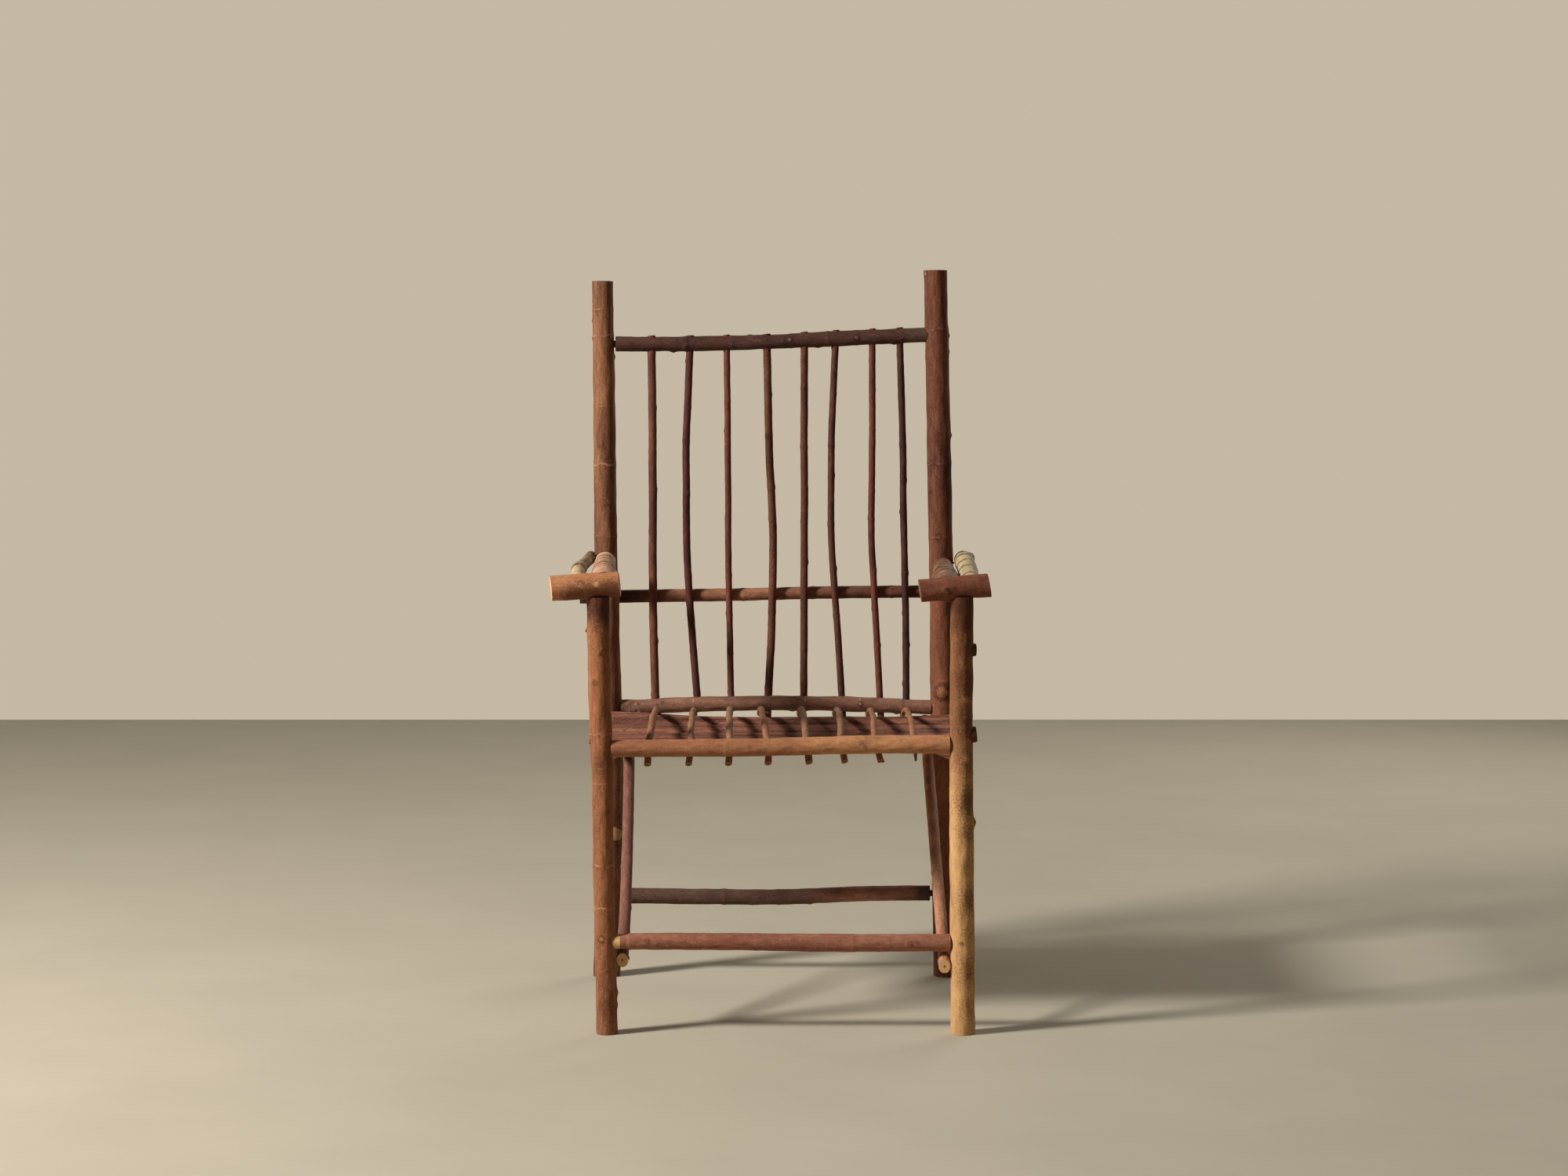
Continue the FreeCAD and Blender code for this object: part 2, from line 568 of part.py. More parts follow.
# Side seat rails, from the back of each front leg to the front of the rear post


def make_side_rail(side):
    leg = front_leg_ring(side, "seat")
    post = rear_post_ring(side, "seat")
    name = f"side_seat_rail_{side}"
    height = "side_rail_height"
    bark = "side_rail_thickness / 2"
    tenon = "rail_tenon_thickness / 2"
    front_face = f"{leg.y} + {leg.radius}"
    back_face = f"{post.y} - {post.radius}"
    rings = [
        Ring(leg.x, f"{front_face} - rail_tenon_length", height, tenon),
        Ring(leg.x, front_face, height, tenon),
        Ring(leg.x, f"{front_face} + rail_shoulder", height, bark),
        Ring(post.x, f"{back_face} - rail_shoulder", height, bark),
        Ring(post.x, back_face, height, tenon),
        Ring(post.x, f"{back_face} + rail_tenon_length", height, tenon),
    ]
    finish(name, stick(name, rings, BACK))
    depth = "rail_tenon_length + hole_end_gap + cut_overrun"
    front_mortise = peg(f"{name}_front_mortise", (leg.x, f"{front_face} + cut_overrun", height),
                        FORWARD, f"{tenon} + fit_clearance", depth, THICK_STICK_SIDES)
    back_mortise = peg(f"{name}_back_mortise", (post.x, f"{back_face} - cut_overrun", height),
                       BACK, f"{tenon} + fit_clearance", depth, THICK_STICK_SIDES)
    return front_mortise, back_mortise


# Side braces, nailed to the inner faces of a front leg and a rear post


def make_brace(side):
    """A slanting brace. Returns its two nails, and the nail holes for the leg and the post."""
    inwards = -SIDES[side]
    low_on_leg = "brace_low_height / front_stretcher_height"
    high_on_post = ("(brace_high_height - rear_stretcher_height)"
                    " / (back_seat_rail_height - rear_stretcher_height)")
    foot, shin = front_leg_ring(side, "foot"), front_leg_ring(side, "stretcher")
    calf, hip = rear_post_ring(side, "stretcher"), rear_post_ring(side, "seat")

    def beside(lower, upper, share, height):
        middle = between(lower.x, upper.x, share)
        aside = f"{between(lower.radius, upper.radius, share)} + rest_gap + brace_thickness / 2"
        return Ring(f"{middle} + ({inwards}) * ({aside})", lower.y, height, "brace_thickness / 2")

    low = beside(foot, shin, low_on_leg, "brace_low_height")
    high = beside(calf, hip, high_on_post, "brace_high_height")
    name = f"side_brace_{side}"

    def brace_ring(reach, end, thickness_share):
        share = f"({end} + ({reach})) / seat_depth"
        return Ring(between(low.x, high.x, share), between(low.y, high.y, share),
                    between(low.z, high.z, share), f"{thickness_share} * brace_thickness / 2")

    rings = [brace_ring("-brace_front_reach", "0", 1), brace_ring("0", "seat_depth / 2", 0.97),
             brace_ring("brace_back_reach", "seat_depth", 1)]
    facing = LEFT if side == "left" else RIGHT
    nails, holes = [], []
    for end, ring in (("low", low), ("high", brace_ring("cut_overrun", "seat_depth", 1))):
        entry = (f"{ring.x} + ({inwards}) * (brace_thickness / 2 + fit_clearance)", ring.y, ring.z)
        depth = "brace_thickness + rest_gap + nail_bite"
        nails.append(nail(f"{name}_{end}_nail", entry, facing, depth))
        holes.append(nail_hole(f"{name}_{end}_nail_hole", entry, facing, depth))
    finish(name, cut(name, stick(name, rings), holes))
    return nails, holes


# Mid rail, nailed behind the rear posts and touched by the spindles


def make_mid_rail():
    left, right = rear_post_ring("left", "mid"), rear_post_ring("right", "mid")
    start, end = f"{left.x} - mid_rail_left_reach", f"{right.x} + mid_rail_right_reach"
    rings = [
        Ring(between(start, end, share), mid_rail_y,
             f"mid_rail_height + ({share - 1 / 2}) * mid_rail_rise + ({lift}) * mid_rail_thickness",
             f"{thickness_share} * mid_rail_thickness / 2")
        for share, lift, thickness_share in MID_SHAPE_SHARE
    ]
    nails, holes = [], {}
    for side, post, ring in (("left", left, rings[0]), ("right", right, rings[-1])):
        entry = (post.x, f"{mid_rail_y} + {ring.radius} + fit_clearance", ring.z)
        depth = "mid_rail_thickness + rest_gap + nail_bite"
        nails.append(nail(f"mid_rail_{side}_nail", entry, FORWARD, depth))
        holes[side] = nail_hole(f"mid_rail_{side}_nail_hole", entry, FORWARD, depth)
    finish("mid_rail", cut("mid_rail", stick("mid_rail", rings, RIGHT), list(holes.values())))
    finish("mid_rail_nails", group("mid_rail_nails", nails))
    return holes


def group(name, members):
    compound = document.addObject("Part::Compound", name)
    compound.Links = members
    return compound


# The seat: split slabs across the side rails, under twigs bent like bows

SLAB_WIDTHS_SHARE = (0.2, 0.175, 0.22, 0.24, 0.165)
# Each row: share of the way across, then width and thickness shares.
SLAB_SHAPE_SHARE = [(0, 0.97, 0.95), (0.4, 1, 1), (1, 0.96, 0.97)]


def make_slabs():
    """Half-round slabs: the upper half of ellipses lofted from side to side."""
    first_y = "seat_rail_thickness / 2 + twig_thickness + slab_front_room"
    last_y = "seat_depth - rear_post_thickness / 2 - slab_back_room"
    gaps = len(SLAB_WIDTHS_SHARE) - 1
    clear_depth = f"({last_y} - ({first_y}) - {gaps} * slab_gap)"
    underside = "side_rail_height + side_rail_thickness / 2 + rest_gap"
    left_end = "-front_width / 2 - slab_overhang"
    right_end = "front_width / 2 + slab_overhang"
    before_share = 0
    for index, width_share in enumerate(SLAB_WIDTHS_SHARE):
        name = f"seat_slab_{index + 1}"
        middle_share = before_share + width_share / 2
        middle_y = f"{first_y} + {middle_share} * {clear_depth} + {index} * slab_gap"
        sections = []
        for row, (share, wide_share, thick_share) in enumerate(SLAB_SHAPE_SHARE):
            section = document.addObject("Part::Ellipse", f"{name}_ring_{row}")
            bind(section, "MajorRadius", f"{wide_share * width_share} * {clear_depth} / 2")
            bind(section, "MinorRadius", f"{thick_share} * slab_thickness")
            section.Placement.Rotation = FreeCAD.Rotation(BACK, UP, RIGHT, "ZXY")
            place(section, between(left_end, right_end, share), middle_y, underside)
            sections.append(section)
        log = document.addObject("Part::Loft", f"{name}_log")
        log.Sections = sections
        log.Solid = True
        log.Ruled = True
        lower_half = document.addObject("Part::Box", f"{name}_lower_half")
        bind(lower_half, "Length", f"{right_end} - ({left_end}) + 2 * cut_overrun")
        bind(lower_half, "Width", f"{clear_depth}")
        bind(lower_half, "Height", "slab_thickness + cut_overrun")
        place(lower_half, f"{left_end} - cut_overrun", f"{middle_y} - {clear_depth} / 2",
              f"{underside} - slab_thickness - cut_overrun")
        finish(name, cut(name, log, [lower_half]))
        before_share += width_share


# Each row: place on the front seat rail as a share of its clear width, then the sideways offsets of the
# front end, of the middle and of the back end in twig thicknesses, the thickness share and the share of
# the back spring.
TWIGS_SHARE = [
    (0.109, -0.1, 0.1, 0, 1.02, 1.35),
    (0.237, -0.4, -0.4, -0.6, 0.95, 1),
    (0.353, -0.3, -0.45, -0.7, 1, 1),
    (0.467, -0.15, -0.95, -1.6, 1, 0.95),
    (0.578, 0.35, -0.35, -0.8, 1.05, 1),
    (0.677, 0.65, 0.2, -0.15, 0.97, 0.97),
    (0.776, 1, 0.35, 0.2, 0.92, 0.95),
    (0.897, 0.2, -0.1, -0.3, 0.85, 1.2),
]
# Degrees round the front and the back seat rail, and the steps from ring to ring.
TWIG_FRONT_TURN_STEP, TWIG_BACK_TURN_STEP = 40, 28
TWIG_FRONT_TURN = (-92, -52, -12)
TWIG_BACK_TURN = (-112, -84)
TWIG_ARCH_SHARE = (0.12, 0.3, 0.52, 0.76)


def cosine(degrees):
    return f"cos({degrees} * 1 deg)"


def sine(degrees):
    return f"sin({degrees} * 1 deg)"


def make_twig(index):
    """A green twig bent round the front seat rail, over the slabs and under the back seat rail.

    It turns round both rails on circles, and between them it follows a Bezier curve that leaves each
    circle along its tangent.
    """
    front_share, front_sway, middle_sway, back_sway, thickness_share, spring_share = TWIGS_SHARE[index]
    radius = f"{thickness_share} * twig_thickness / 2"
    front = rail_ring("front_seat_rail", front_share)
    front_turn = f"({front.radius} + rest_gap + {radius}) / {cosine(TWIG_FRONT_TURN_STEP / 2)}"
    back_place = number(f"(({front.x}) - ({RAILS['back_seat_rail'].left.x} + rear_post_thickness / 2))"
                        " / (back_width - rear_post_thickness)")
    back = rail_ring("back_seat_rail", round(back_place, 3))
    back_turn = f"({back.radius} + rest_gap + {radius}) / {cosine(TWIG_BACK_TURN_STEP / 2)}"

    def sideways(sway):
        return f"{front.x} + ({sway}) * twig_thickness"

    rings = []
    for turn_index, degrees in enumerate(TWIG_FRONT_TURN):
        sway = front_sway * (1 - turn_index / (len(TWIG_FRONT_TURN) - 1))
        rings.append(Ring(sideways(sway), f"{front_turn} * {cosine(degrees)}",
                          f"{front.z} + {front_turn} * {sine(degrees)}", radius))
    leave = (rings[-1].y, rings[-1].z)
    leave_turn, meet_turn = TWIG_FRONT_TURN[-1], TWIG_BACK_TURN[0]
    meet = (f"{back.y} + {back_turn} * {cosine(meet_turn)}", f"{back.z} + {back_turn} * {sine(meet_turn)}")
    front_arm = (f"{leave[0]} - twig_front_spring * {sine(leave_turn)}",
                 f"{leave[1]} + twig_front_spring * {cosine(leave_turn)}")
    back_arm = (f"{meet[0]} + {spring_share} * twig_back_spring * {sine(meet_turn)}",
                f"{meet[1]} - {spring_share} * twig_back_spring * {cosine(meet_turn)}")
    for share in TWIG_ARCH_SHARE:
        rest = 1 - share
        weights = (rest**3, 3 * rest**2 * share, 3 * rest * share**2, share**3)
        y, z = (" + ".join(f"{weight:.4f} * ({point[axis]})" for weight, point in
                           zip(weights, (leave, front_arm, back_arm, meet))) for axis in range(2))
        sway = 4 * rest * share * middle_sway + share * (2 * share - 1) * back_sway
        rings.append(Ring(sideways(round(sway, 3)), y, z, radius))
    for degrees in TWIG_BACK_TURN:
        rings.append(Ring(sideways(back_sway), f"{back.y} + {back_turn} * {cosine(degrees)}",
                          f"{back.z} + {back_turn} * {sine(degrees)}", radius))
    last = rings[-1]
    rings.append(last._replace(x=sideways(back_sway - 1 / 4), y=f"{last.y} + twig_tail",
                               radius=f"0.9 * {radius}"))
    name = f"seat_twig_{index + 1}"
    finish(name, stick(name, rings, sides=THIN_STICK_SIDES))


# Pruned branch stubs on the outer sides of the front legs: the two levels that each lies between, the share
# of the way up, and the stub's radius and reach past the bark in leg thicknesses.
LEG_STUBS_SHARE = {
    "left": [("seat", "arm", 0.7, 0.16, 0.11), ("seat", "arm", 0.03, 0.22, 0.06)],
    "right": [("seat", "arm", 0.6, 0.28, 0.16), ("seat", "arm", 0.065, 0.4, 0.19),
              ("knee", "seat", 0.335, 0.25, 0.11)],
}


def leg_stubs(side):
    stubs = []
    for index, (below, above, share, radius_share, reach_share) in enumerate(LEG_STUBS_SHARE[side]):
        lower, upper = front_leg_ring(side, below), front_leg_ring(side, above)
        root = (between(lower.x, upper.x, share), lower.y, between(lower.z, upper.z, share))
        reach = f"{between(lower.radius, upper.radius, share)} + {reach_share} * front_leg_thickness"
        stubs.append(stub(f"leg_{side}_stub_{index}", root, RIGHT if side == "right" else LEFT,
                          f"{radius_share} * front_leg_thickness", reach))
    return stubs


def make_chair():
    rails, mortises = {}, {}
    for name in RAILS:
        rails[name], mortises[name] = make_rail(name)
    foot_holes, head_holes = make_spindles()
    finish("crest_rail", cut("crest_rail", rails["crest_rail"], head_holes))
    finish("back_seat_rail", cut("back_seat_rail", rails["back_seat_rail"], foot_holes))
    for name in ("front_seat_rail", "front_stretcher", "rear_stretcher"):
        finish(name, rails[name])
    mid_nail_holes = make_mid_rail()
    brace_nails, arm_nails = [], []
    for side in SIDES:
        leg_hollows, post_holes, arm_nail = make_arm(side)
        arm_nails.append(arm_nail)
        rail_mortise, post_rail_mortise = make_side_rail(side)
        nails, (low_hole, high_hole) = make_brace(side)
        brace_nails += nails

        name = f"front_leg_{side}"
        leg = stick(name, [front_leg_ring(side, level) for level in FRONT_LEG_LEVELS_SHARE], UP)
        for index, hollow in enumerate(leg_hollows):
            leg = cut(f"{name}_coped_{index}", leg, [hollow])
        leg = joined(f"{name}_whole", leg, [leg_tenon(side, f"{name}_tenon")] + leg_stubs(side))
        finish(name, cut(name, leg, [mortises["front_seat_rail"][side], mortises["front_stretcher"][side],
                                     rail_mortise, low_hole]))

        name = f"rear_post_{side}"
        post = stick(name, [rear_post_ring(side, level) for level in REAR_POST_LEVELS_SHARE], UP)
        finish(name, cut(name, post, [mortises["crest_rail"][side], mortises["back_seat_rail"][side],
                                      mortises["rear_stretcher"][side], post_rail_mortise, high_hole,
                                      mid_nail_holes[side]] + post_holes))
    finish("brace_nails", group("brace_nails", brace_nails))
    finish("arm_nails", group("arm_nails", arm_nails))
    make_slabs()
    for index in range(len(TWIGS_SHARE)):
        make_twig(index)


def centre_on_floor():
    """Moves every piece alike, so that the origin lies on the floor under the middle of the chair."""
    box = FreeCAD.BoundBox()
    for _, wood in pieces:
        box.add(wood.Shape.optimalBoundingBox(False, False))
    shift = VECTOR(-box.Center.x, -box.Center.y, 0)
    for _, wood in pieces:
        wood.Placement.Base = wood.Placement.Base + shift
    document.recompute()


def check():
    """Stops when an object failed, or when a piece is no valid solid."""
    for item in document.Objects:
        if "Invalid" in item.State or "Error" in item.State:
            raise ValueError(f"{item.Label} failed")
    for name, wood in pieces:
        if wood.Shape.isNull() or not wood.Shape.isValid() or not wood.Shape.Solids:
            raise ValueError(f"{name} is no valid solid")


make_chair()
document.recompute()
check()
centre_on_floor()
check()
os.makedirs("parts", exist_ok=True)
for name, wood in pieces:
    wood.Shape.exportStep(f"parts/{name}.step")
print(len(pieces), "pieces")
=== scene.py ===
import math
from collections import namedtuple

import bpy
import numpy as np
from bpy.props import FloatProperty, FloatVectorProperty, IntProperty, PointerProperty
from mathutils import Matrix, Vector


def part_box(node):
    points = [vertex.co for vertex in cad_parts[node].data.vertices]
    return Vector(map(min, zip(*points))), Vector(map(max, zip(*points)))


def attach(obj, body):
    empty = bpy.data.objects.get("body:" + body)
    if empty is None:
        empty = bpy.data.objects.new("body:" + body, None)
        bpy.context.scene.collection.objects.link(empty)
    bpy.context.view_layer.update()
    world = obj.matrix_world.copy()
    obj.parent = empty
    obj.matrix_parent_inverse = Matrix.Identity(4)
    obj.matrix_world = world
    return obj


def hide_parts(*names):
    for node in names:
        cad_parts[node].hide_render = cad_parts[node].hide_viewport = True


bl_info = {
    "name": "Twig Chair",
    "version": (1, 0, 0),
    "blender": (4, 5, 0),
    "location": "3D View > Sidebar > Twig Chair",
    "description": "Dresses a frame of round sticks as a rustic armchair with bark, knots and bent twigs",
    "category": "Add Mesh",
}

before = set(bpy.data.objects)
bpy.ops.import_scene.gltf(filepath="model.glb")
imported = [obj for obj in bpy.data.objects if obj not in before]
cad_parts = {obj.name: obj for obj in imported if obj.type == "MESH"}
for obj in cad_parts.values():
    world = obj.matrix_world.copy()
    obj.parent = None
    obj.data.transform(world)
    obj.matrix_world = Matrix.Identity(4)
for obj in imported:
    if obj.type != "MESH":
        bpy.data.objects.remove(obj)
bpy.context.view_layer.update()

MM = 0.001
X, Y, Z = 0, 1, 2
AXES = np.eye(3)
FULL_TURN = 2 * math.pi

# Rows of marks on a stick, in millimetres and degrees:
# - knots: place along the stick, side round it, height, width, mark. A mark above 0 paints a knot pale
#   with a dark rim, and one below 0 paints it dark. Some rows with no height and a mark below 0 paint
#   patches of shade instead of a knot.
# - rings: place, height, width, mark, and teeth, which is how far a ring strays along the stick. A ring
#   with no height and a mark below 0 paints a band of shadow.
# - stubs: place, side, radius, reach, rise of its direction, mark.
RING_TEETH = 0.8


def seen(red, green, blue):
    """The linear colour of a colour written as it is seen, in parts of 255."""
    parts = np.array([red, green, blue]) / 255
    linear = np.where(parts <= 0.04045, parts / 12.92, ((parts + 0.055) / 1.055) ** 2.4)
    return tuple(float(part) for part in linear) + (1.0,)


# Reading the frame: the centre line and the thickness of each straight CAD stick


def read_stick(node, axis, low, high, count, calm=0, thick_by=max):
    """Centre line and radius of a CAD stick, at count places between two places on an axis.

    Every edge of the node's mesh is met with planes square to the axis. The middle between the lowest and
    the highest meeting point is the centre, and half their distance is the radius. calm is the length over
    which a running median takes out holes and stubs.
    """
    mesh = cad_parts[node].data
    corners = np.empty(len(mesh.vertices) * 3)
    mesh.vertices.foreach_get("co", corners)
    corners = corners.reshape(-1, 3)
    ends = np.empty(len(mesh.edges) * 2, dtype=int)
    mesh.edges.foreach_get("vertices", ends)
    start, end = corners[ends[0::2]], corners[ends[1::2]]
    node_low, node_high = corners[:, axis].min() + 0.1 * MM, corners[:, axis].max() - 0.1 * MM
    places = np.linspace(low, high, count)
    cuts = np.clip(places, node_low, node_high)
    run = end[:, axis] - start[:, axis]
    run = np.where(np.abs(run) < 1e-9, np.nan, run)
    share = (cuts[None, :] - start[:, axis, None]) / run[:, None]
    met = (share >= 0) & (share <= 1)
    points = start[:, None, :] + np.nan_to_num(share)[:, :, None] * (end - start)[:, None, :]
    lowest = np.where(met[:, :, None], points, np.inf).min(axis=0)
    highest = np.where(met[:, :, None], points, -np.inf).max(axis=0)
    centre, half = (lowest + highest) / 2, (highest - lowest) / 2
    others = [other for other in (X, Y, Z) if other != axis]
    radius = np.max(half[:, others], axis=1) if thick_by is max else np.min(half[:, others], axis=1)
    centre[:, axis] = cuts
    if calm:
        window = max(3, int(calm / max(places[1] - places[0], 1e-6)) | 1)
        centre = np.stack([running_median(centre[:, column], window) for column in range(3)], axis=1)
        centre[:, axis] = cuts
        radius = running_median(radius, window)
    return stretched(centre, places, cuts), radius


def running_median(values, window):
    """The median of window values round each value, an odd number."""
    padded = np.pad(values, window // 2, mode="reflect")
    return np.median(np.lib.stride_tricks.sliding_window_view(padded, window), axis=-1)


def stretched(centre, places, cuts):
    """Carries the line on straight where the places lie past the node's own ends."""
    inside = np.flatnonzero(places == cuts)
    first, last = inside[0], inside[-1]
    line = centre.copy()
    span = min(12, len(inside) - 1)
    for anchor, other, past in ((first, first + span, places < cuts), (last, last - span, places > cuts)):
        slope = (centre[anchor] - centre[other]) / (cuts[anchor] - cuts[other])
        line[past] = centre[anchor] + (places[past] - cuts[anchor])[:, None] * slope
    return line


def smoothed(values, reach):
    """A running mean with a bell-shaped weight over reach stations."""
    offsets = np.arange(-2 * reach, 2 * reach + 1)
    weights = np.exp(-0.5 * (offsets / max(reach, 1)) ** 2)
    weights /= weights.sum()
    grown = np.concatenate([
        2 * values[0] - values[2 * reach:0:-1], values, 2 * values[-1] - values[-2:-2 * reach - 2:-1]])
    return np.stack([np.convolve(grown[:, column], weights, mode="valid")
                     for column in range(values.shape[1])], axis=1)


def straight_on(places, known, values):
    """Linear interpolation that goes on with the slope of either end."""
    result = np.interp(places, known, values)
    span = min(14, len(known) - 1)
    for past, near, far in ((places < known[0], 0, span), (places > known[-1], -1, -1 - span)):
        slope = (values[near] - values[far]) / (known[near] - known[far])
        result = np.where(past, values[near] + (places - known[near]) * slope, result)
    return result


def read_inside(node, axis, places, low, high, calm=0, thick_by=max):
    """The stick at the given places, read between low and high only and carried on straight past them."""
    line, radius = read_stick(node, axis, low, high, len(places), calm, thick_by)
    known = line[:, axis]
    carried = np.stack([straight_on(places, known, line[:, column]) for column in range(3)], axis=1)
    carried[:, axis] = places
    return carried, np.interp(places, known, radius)


def squared_shoulders(line, radius, sides=(True, True)):
    """Makes the step from each tenon to the full stick a flat sawn shoulder."""
    line, radius = line.copy(), radius.copy()
    for side, square in enumerate(sides):
        if not square:
            continue
        if side:
            line, radius = line[::-1], radius[::-1]
        tenon = radius[0]
        full = np.median(radius)
        if tenon < 0.9 * full:
            step = int(np.argmax(radius > 1.05 * tenon))
            whole = int(np.argmax(radius > 0.96 * full))
            radius[:step] = tenon
            radius[step:whole + 1] = radius[whole + 1]
            line[step] = line[step - 1] + 0.1 * MM * unit(line[step] - line[step - 1])
        if side:
            line, radius = line[::-1], radius[::-1]
    return line, radius


# Surfaces of bark


def lengths_along(line):
    """The distance along the line from its start to each station."""
    steps = np.linalg.norm(np.diff(line, axis=0), axis=1)
    return np.concatenate([[0], np.cumsum(steps)])


def unit(vectors):
    return vectors / np.linalg.norm(vectors, axis=-1, keepdims=True)


def waves(along, around, seed, count, longest, shortest, most_turns):
    """A smooth random height on a stick: a sum of waves.

    Each wave runs along the stick with its own wavelength between longest and shortest, and closes round
    the stick because its number of turns is whole. The heights stay near 1.
    """
    draw = np.random.default_rng(seed)
    total = np.zeros(np.broadcast(along, around).shape)
    for _ in range(count):
        length = longest * (shortest / longest) ** draw.random()
        turns = draw.integers(0, most_turns + 1)
        phase = draw.random() * FULL_TURN
        lean = draw.choice((-1, 1))
        total += np.sin(FULL_TURN * along / length + lean * turns * around + phase)
    return total / math.sqrt(count)


def interpolated(places, rows):
    """The values at places between rows of a place and its value, or None without rows."""
    return None if rows is None else np.interp(places, *zip(*rows))


def resampled(line, own, places):
    """The points of a line at new places, where own tells the places of its stations."""
    return np.stack([np.interp(places, own, line[:, column]) for column in range(3)], axis=-1)


def bell(distance):
    """1 at no distance, and falling smoothly to 0: e to the power of -distance squared."""
    return np.exp(-distance**2)


def stronger(first, second):
    """Of two marks at each point, the one further from 0."""
    return np.where(np.abs(second) > np.abs(first), second, first)


SHARP_DEGREES = 40


class Surface:
    """Points, faces and per-point values of one piece, gathered from several grids."""

    def __init__(self):
        self.points, self.faces, self.values, self.count = [], [], {}, 0

    def add_grid(self, grid, values, poles=None):
        """Adds a grid of points that closes round its second direction.

        Square faces join neighbours, and where poles gives a point for each end, a fan closes it. values
        holds one array of the grid's shape for each attribute, and the poles take the value beside them.
        """
        rows, columns = grid.shape[:2]
        index = np.arange(rows * columns).reshape(rows, columns) + self.count
        beside = np.roll(index, -1, axis=1)
        quads = np.stack([index[:-1], beside[:-1], beside[1:], index[1:]], axis=-1).reshape(-1, 4)
        self.faces += quads.tolist()
        self.points.append(grid.reshape(-1, 3))
        self.count += rows * columns
        parts = {name: [value.reshape(rows * columns, -1)] for name, value in values.items()}
        if poles is not None:
            for pole, row, flip in ((poles[0], 0, True), (poles[1], rows - 1, False)):
                fan = np.stack([index[row], beside[row], np.full(columns, self.count)], axis=1)
                self.faces += (fan[:, ::-1] if flip else fan).tolist()
                self.points.append(np.asarray(pole).reshape(1, 3))
                self.count += 1
                for name, value in values.items():
                    parts[name].append(value[row].reshape(columns, -1).mean(axis=0, keepdims=True))
        for name, blocks in parts.items():
            self.values.setdefault(name, []).append(np.concatenate(blocks))

    def make(self, node, finish, material):
        """Puts the surface into a mesh and fits the piece into the frame, in place of its CAD node."""
        name = f"{node}_{finish}"
        mesh = bpy.data.meshes.new(name)
        mesh.from_pydata(np.concatenate(self.points), [], self.faces)
        for key, blocks in self.values.items():
            value = np.concatenate(blocks).astype(np.float32)
            kind = "FLOAT_VECTOR" if value.shape[1] == 3 else "FLOAT"
            attribute = mesh.attributes.new(key, kind, "POINT")
            attribute.data.foreach_set("vector" if kind == "FLOAT_VECTOR" else "value", value.ravel())
        mesh.polygons.foreach_set("use_smooth", np.ones(len(mesh.polygons), dtype=bool))
        mesh.set_sharp_from_angle(angle=math.radians(SHARP_DEGREES))
        mesh.materials.append(material)
        mesh.update()
        piece = bpy.data.objects.new(name, mesh)
        bpy.context.scene.collection.objects.link(piece)
        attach(piece, "root")
        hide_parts(node)


def frames_along(line, up):
    """Tangents, and two directions square to them of which the first leans to up."""
    tangent = unit(np.gradient(line, lengths_along(line), axis=0))
    first = unit(up - (tangent @ up)[:, None] * tangent)
    return tangent, first, np.cross(tangent, first)


def add_stick(surface, line, radius, up, seed, around=56, relief=0.03, knots=(), rings=(), bare=None,
              tone=None, end_leans=(0.0, 0.0), end_planes=(None, None), ridges=0.012):
    """Adds one barked stick: a circle carried along a line, its radius changed by bark, knots and rings.

    radius(s, a) = radius(s) * (1 + relief * slow waves + ridges * waves along the grain) + knots + rings.
    A knot is a bell-shaped bump. A ring is a low swelling right round, whose place strays with the angle.
    Each end is a sawn face: the last circle shrinks to a pole over a small rounded rim.
    """
    s = lengths_along(line)
    angle = np.linspace(0, FULL_TURN, around, endpoint=False)
    along, turn = s[:, None], angle[None, :]
    girth = float(np.median(radius))
    height = radius[:, None] * (1 + relief * waves(along, turn, seed, 9, 24 * girth, 3 * girth, 2)
                                + ridges * waves(along, turn, seed + 1, 14, 10 * girth, 2 * girth, 9))
    scar = np.zeros_like(height)
    node = np.zeros_like(height)
    for place, side, tall, wide, mark in knots:
        aside = np.mod(turn - math.radians(side) + math.pi, FULL_TURN) - math.pi
        distance = np.hypot(along - place * MM, aside * girth) / (wide * MM)
        height = height + tall * MM * bell(distance)
        # scar holds the knots' marks, and the patches of painted shade that flat dark rows give
        scar = stronger(scar, mark * bell(0.75 * distance))
    for place, tall, wide, mark, *own_teeth in rings:
        teeth = own_teeth[0] if own_teeth else RING_TEETH
        stray = wide * MM * teeth * waves(
            along * 0, turn, seed + int(10 * abs(place)), 6, 1, 1, 3 + int(4 * teeth))
        distance = (along - place * MM - stray) / (wide * MM)
        faint = 0.75 + 0.25 * waves(along * 0, turn, seed + int(7 * abs(place)), 4, 1, 1, 5)
        height = height + tall * MM * bell(distance / 2.5)
        # node holds the rings' marks, and the bands of painted shadow that flat dark rings give
        node = stronger(node, mark * faint * bell(distance))
    bare = np.zeros(len(s)) if bare is None else bare
    tone = np.zeros(len(s)) if tone is None else tone
    height = height * (1 - bare[:, None]) + radius[:, None] * (1 + 0.02 * waves(
        along, turn, seed + 2, 6, 3 * girth, girth, 6)) * bare[:, None]
    tangent, first, second = frames_along(line, np.asarray(up, float))
    spoke = np.cos(turn)[..., None] * first[:, None] + np.sin(turn)[..., None] * second[:, None]
    grid = line[:, None] + height[..., None] * spoke
    grid = grid + end_shift(grid, line, tangent, s, girth, end_leans, end_planes)
    grain = np.stack([height * np.cos(turn), height * np.sin(turn),
                      np.broadcast_to(along + 1.7 * (seed % 97), height.shape)], axis=-1)
    values = {"grain": grain, "scar": scar, "node": node,
              "bare": np.broadcast_to(bare[:, None], height.shape),
              "tone": np.broadcast_to(tone[:, None], height.shape)}
    grid, values, poles = with_sawn_ends(grid, values, tangent, girth)
    surface.add_grid(grid, values, poles)


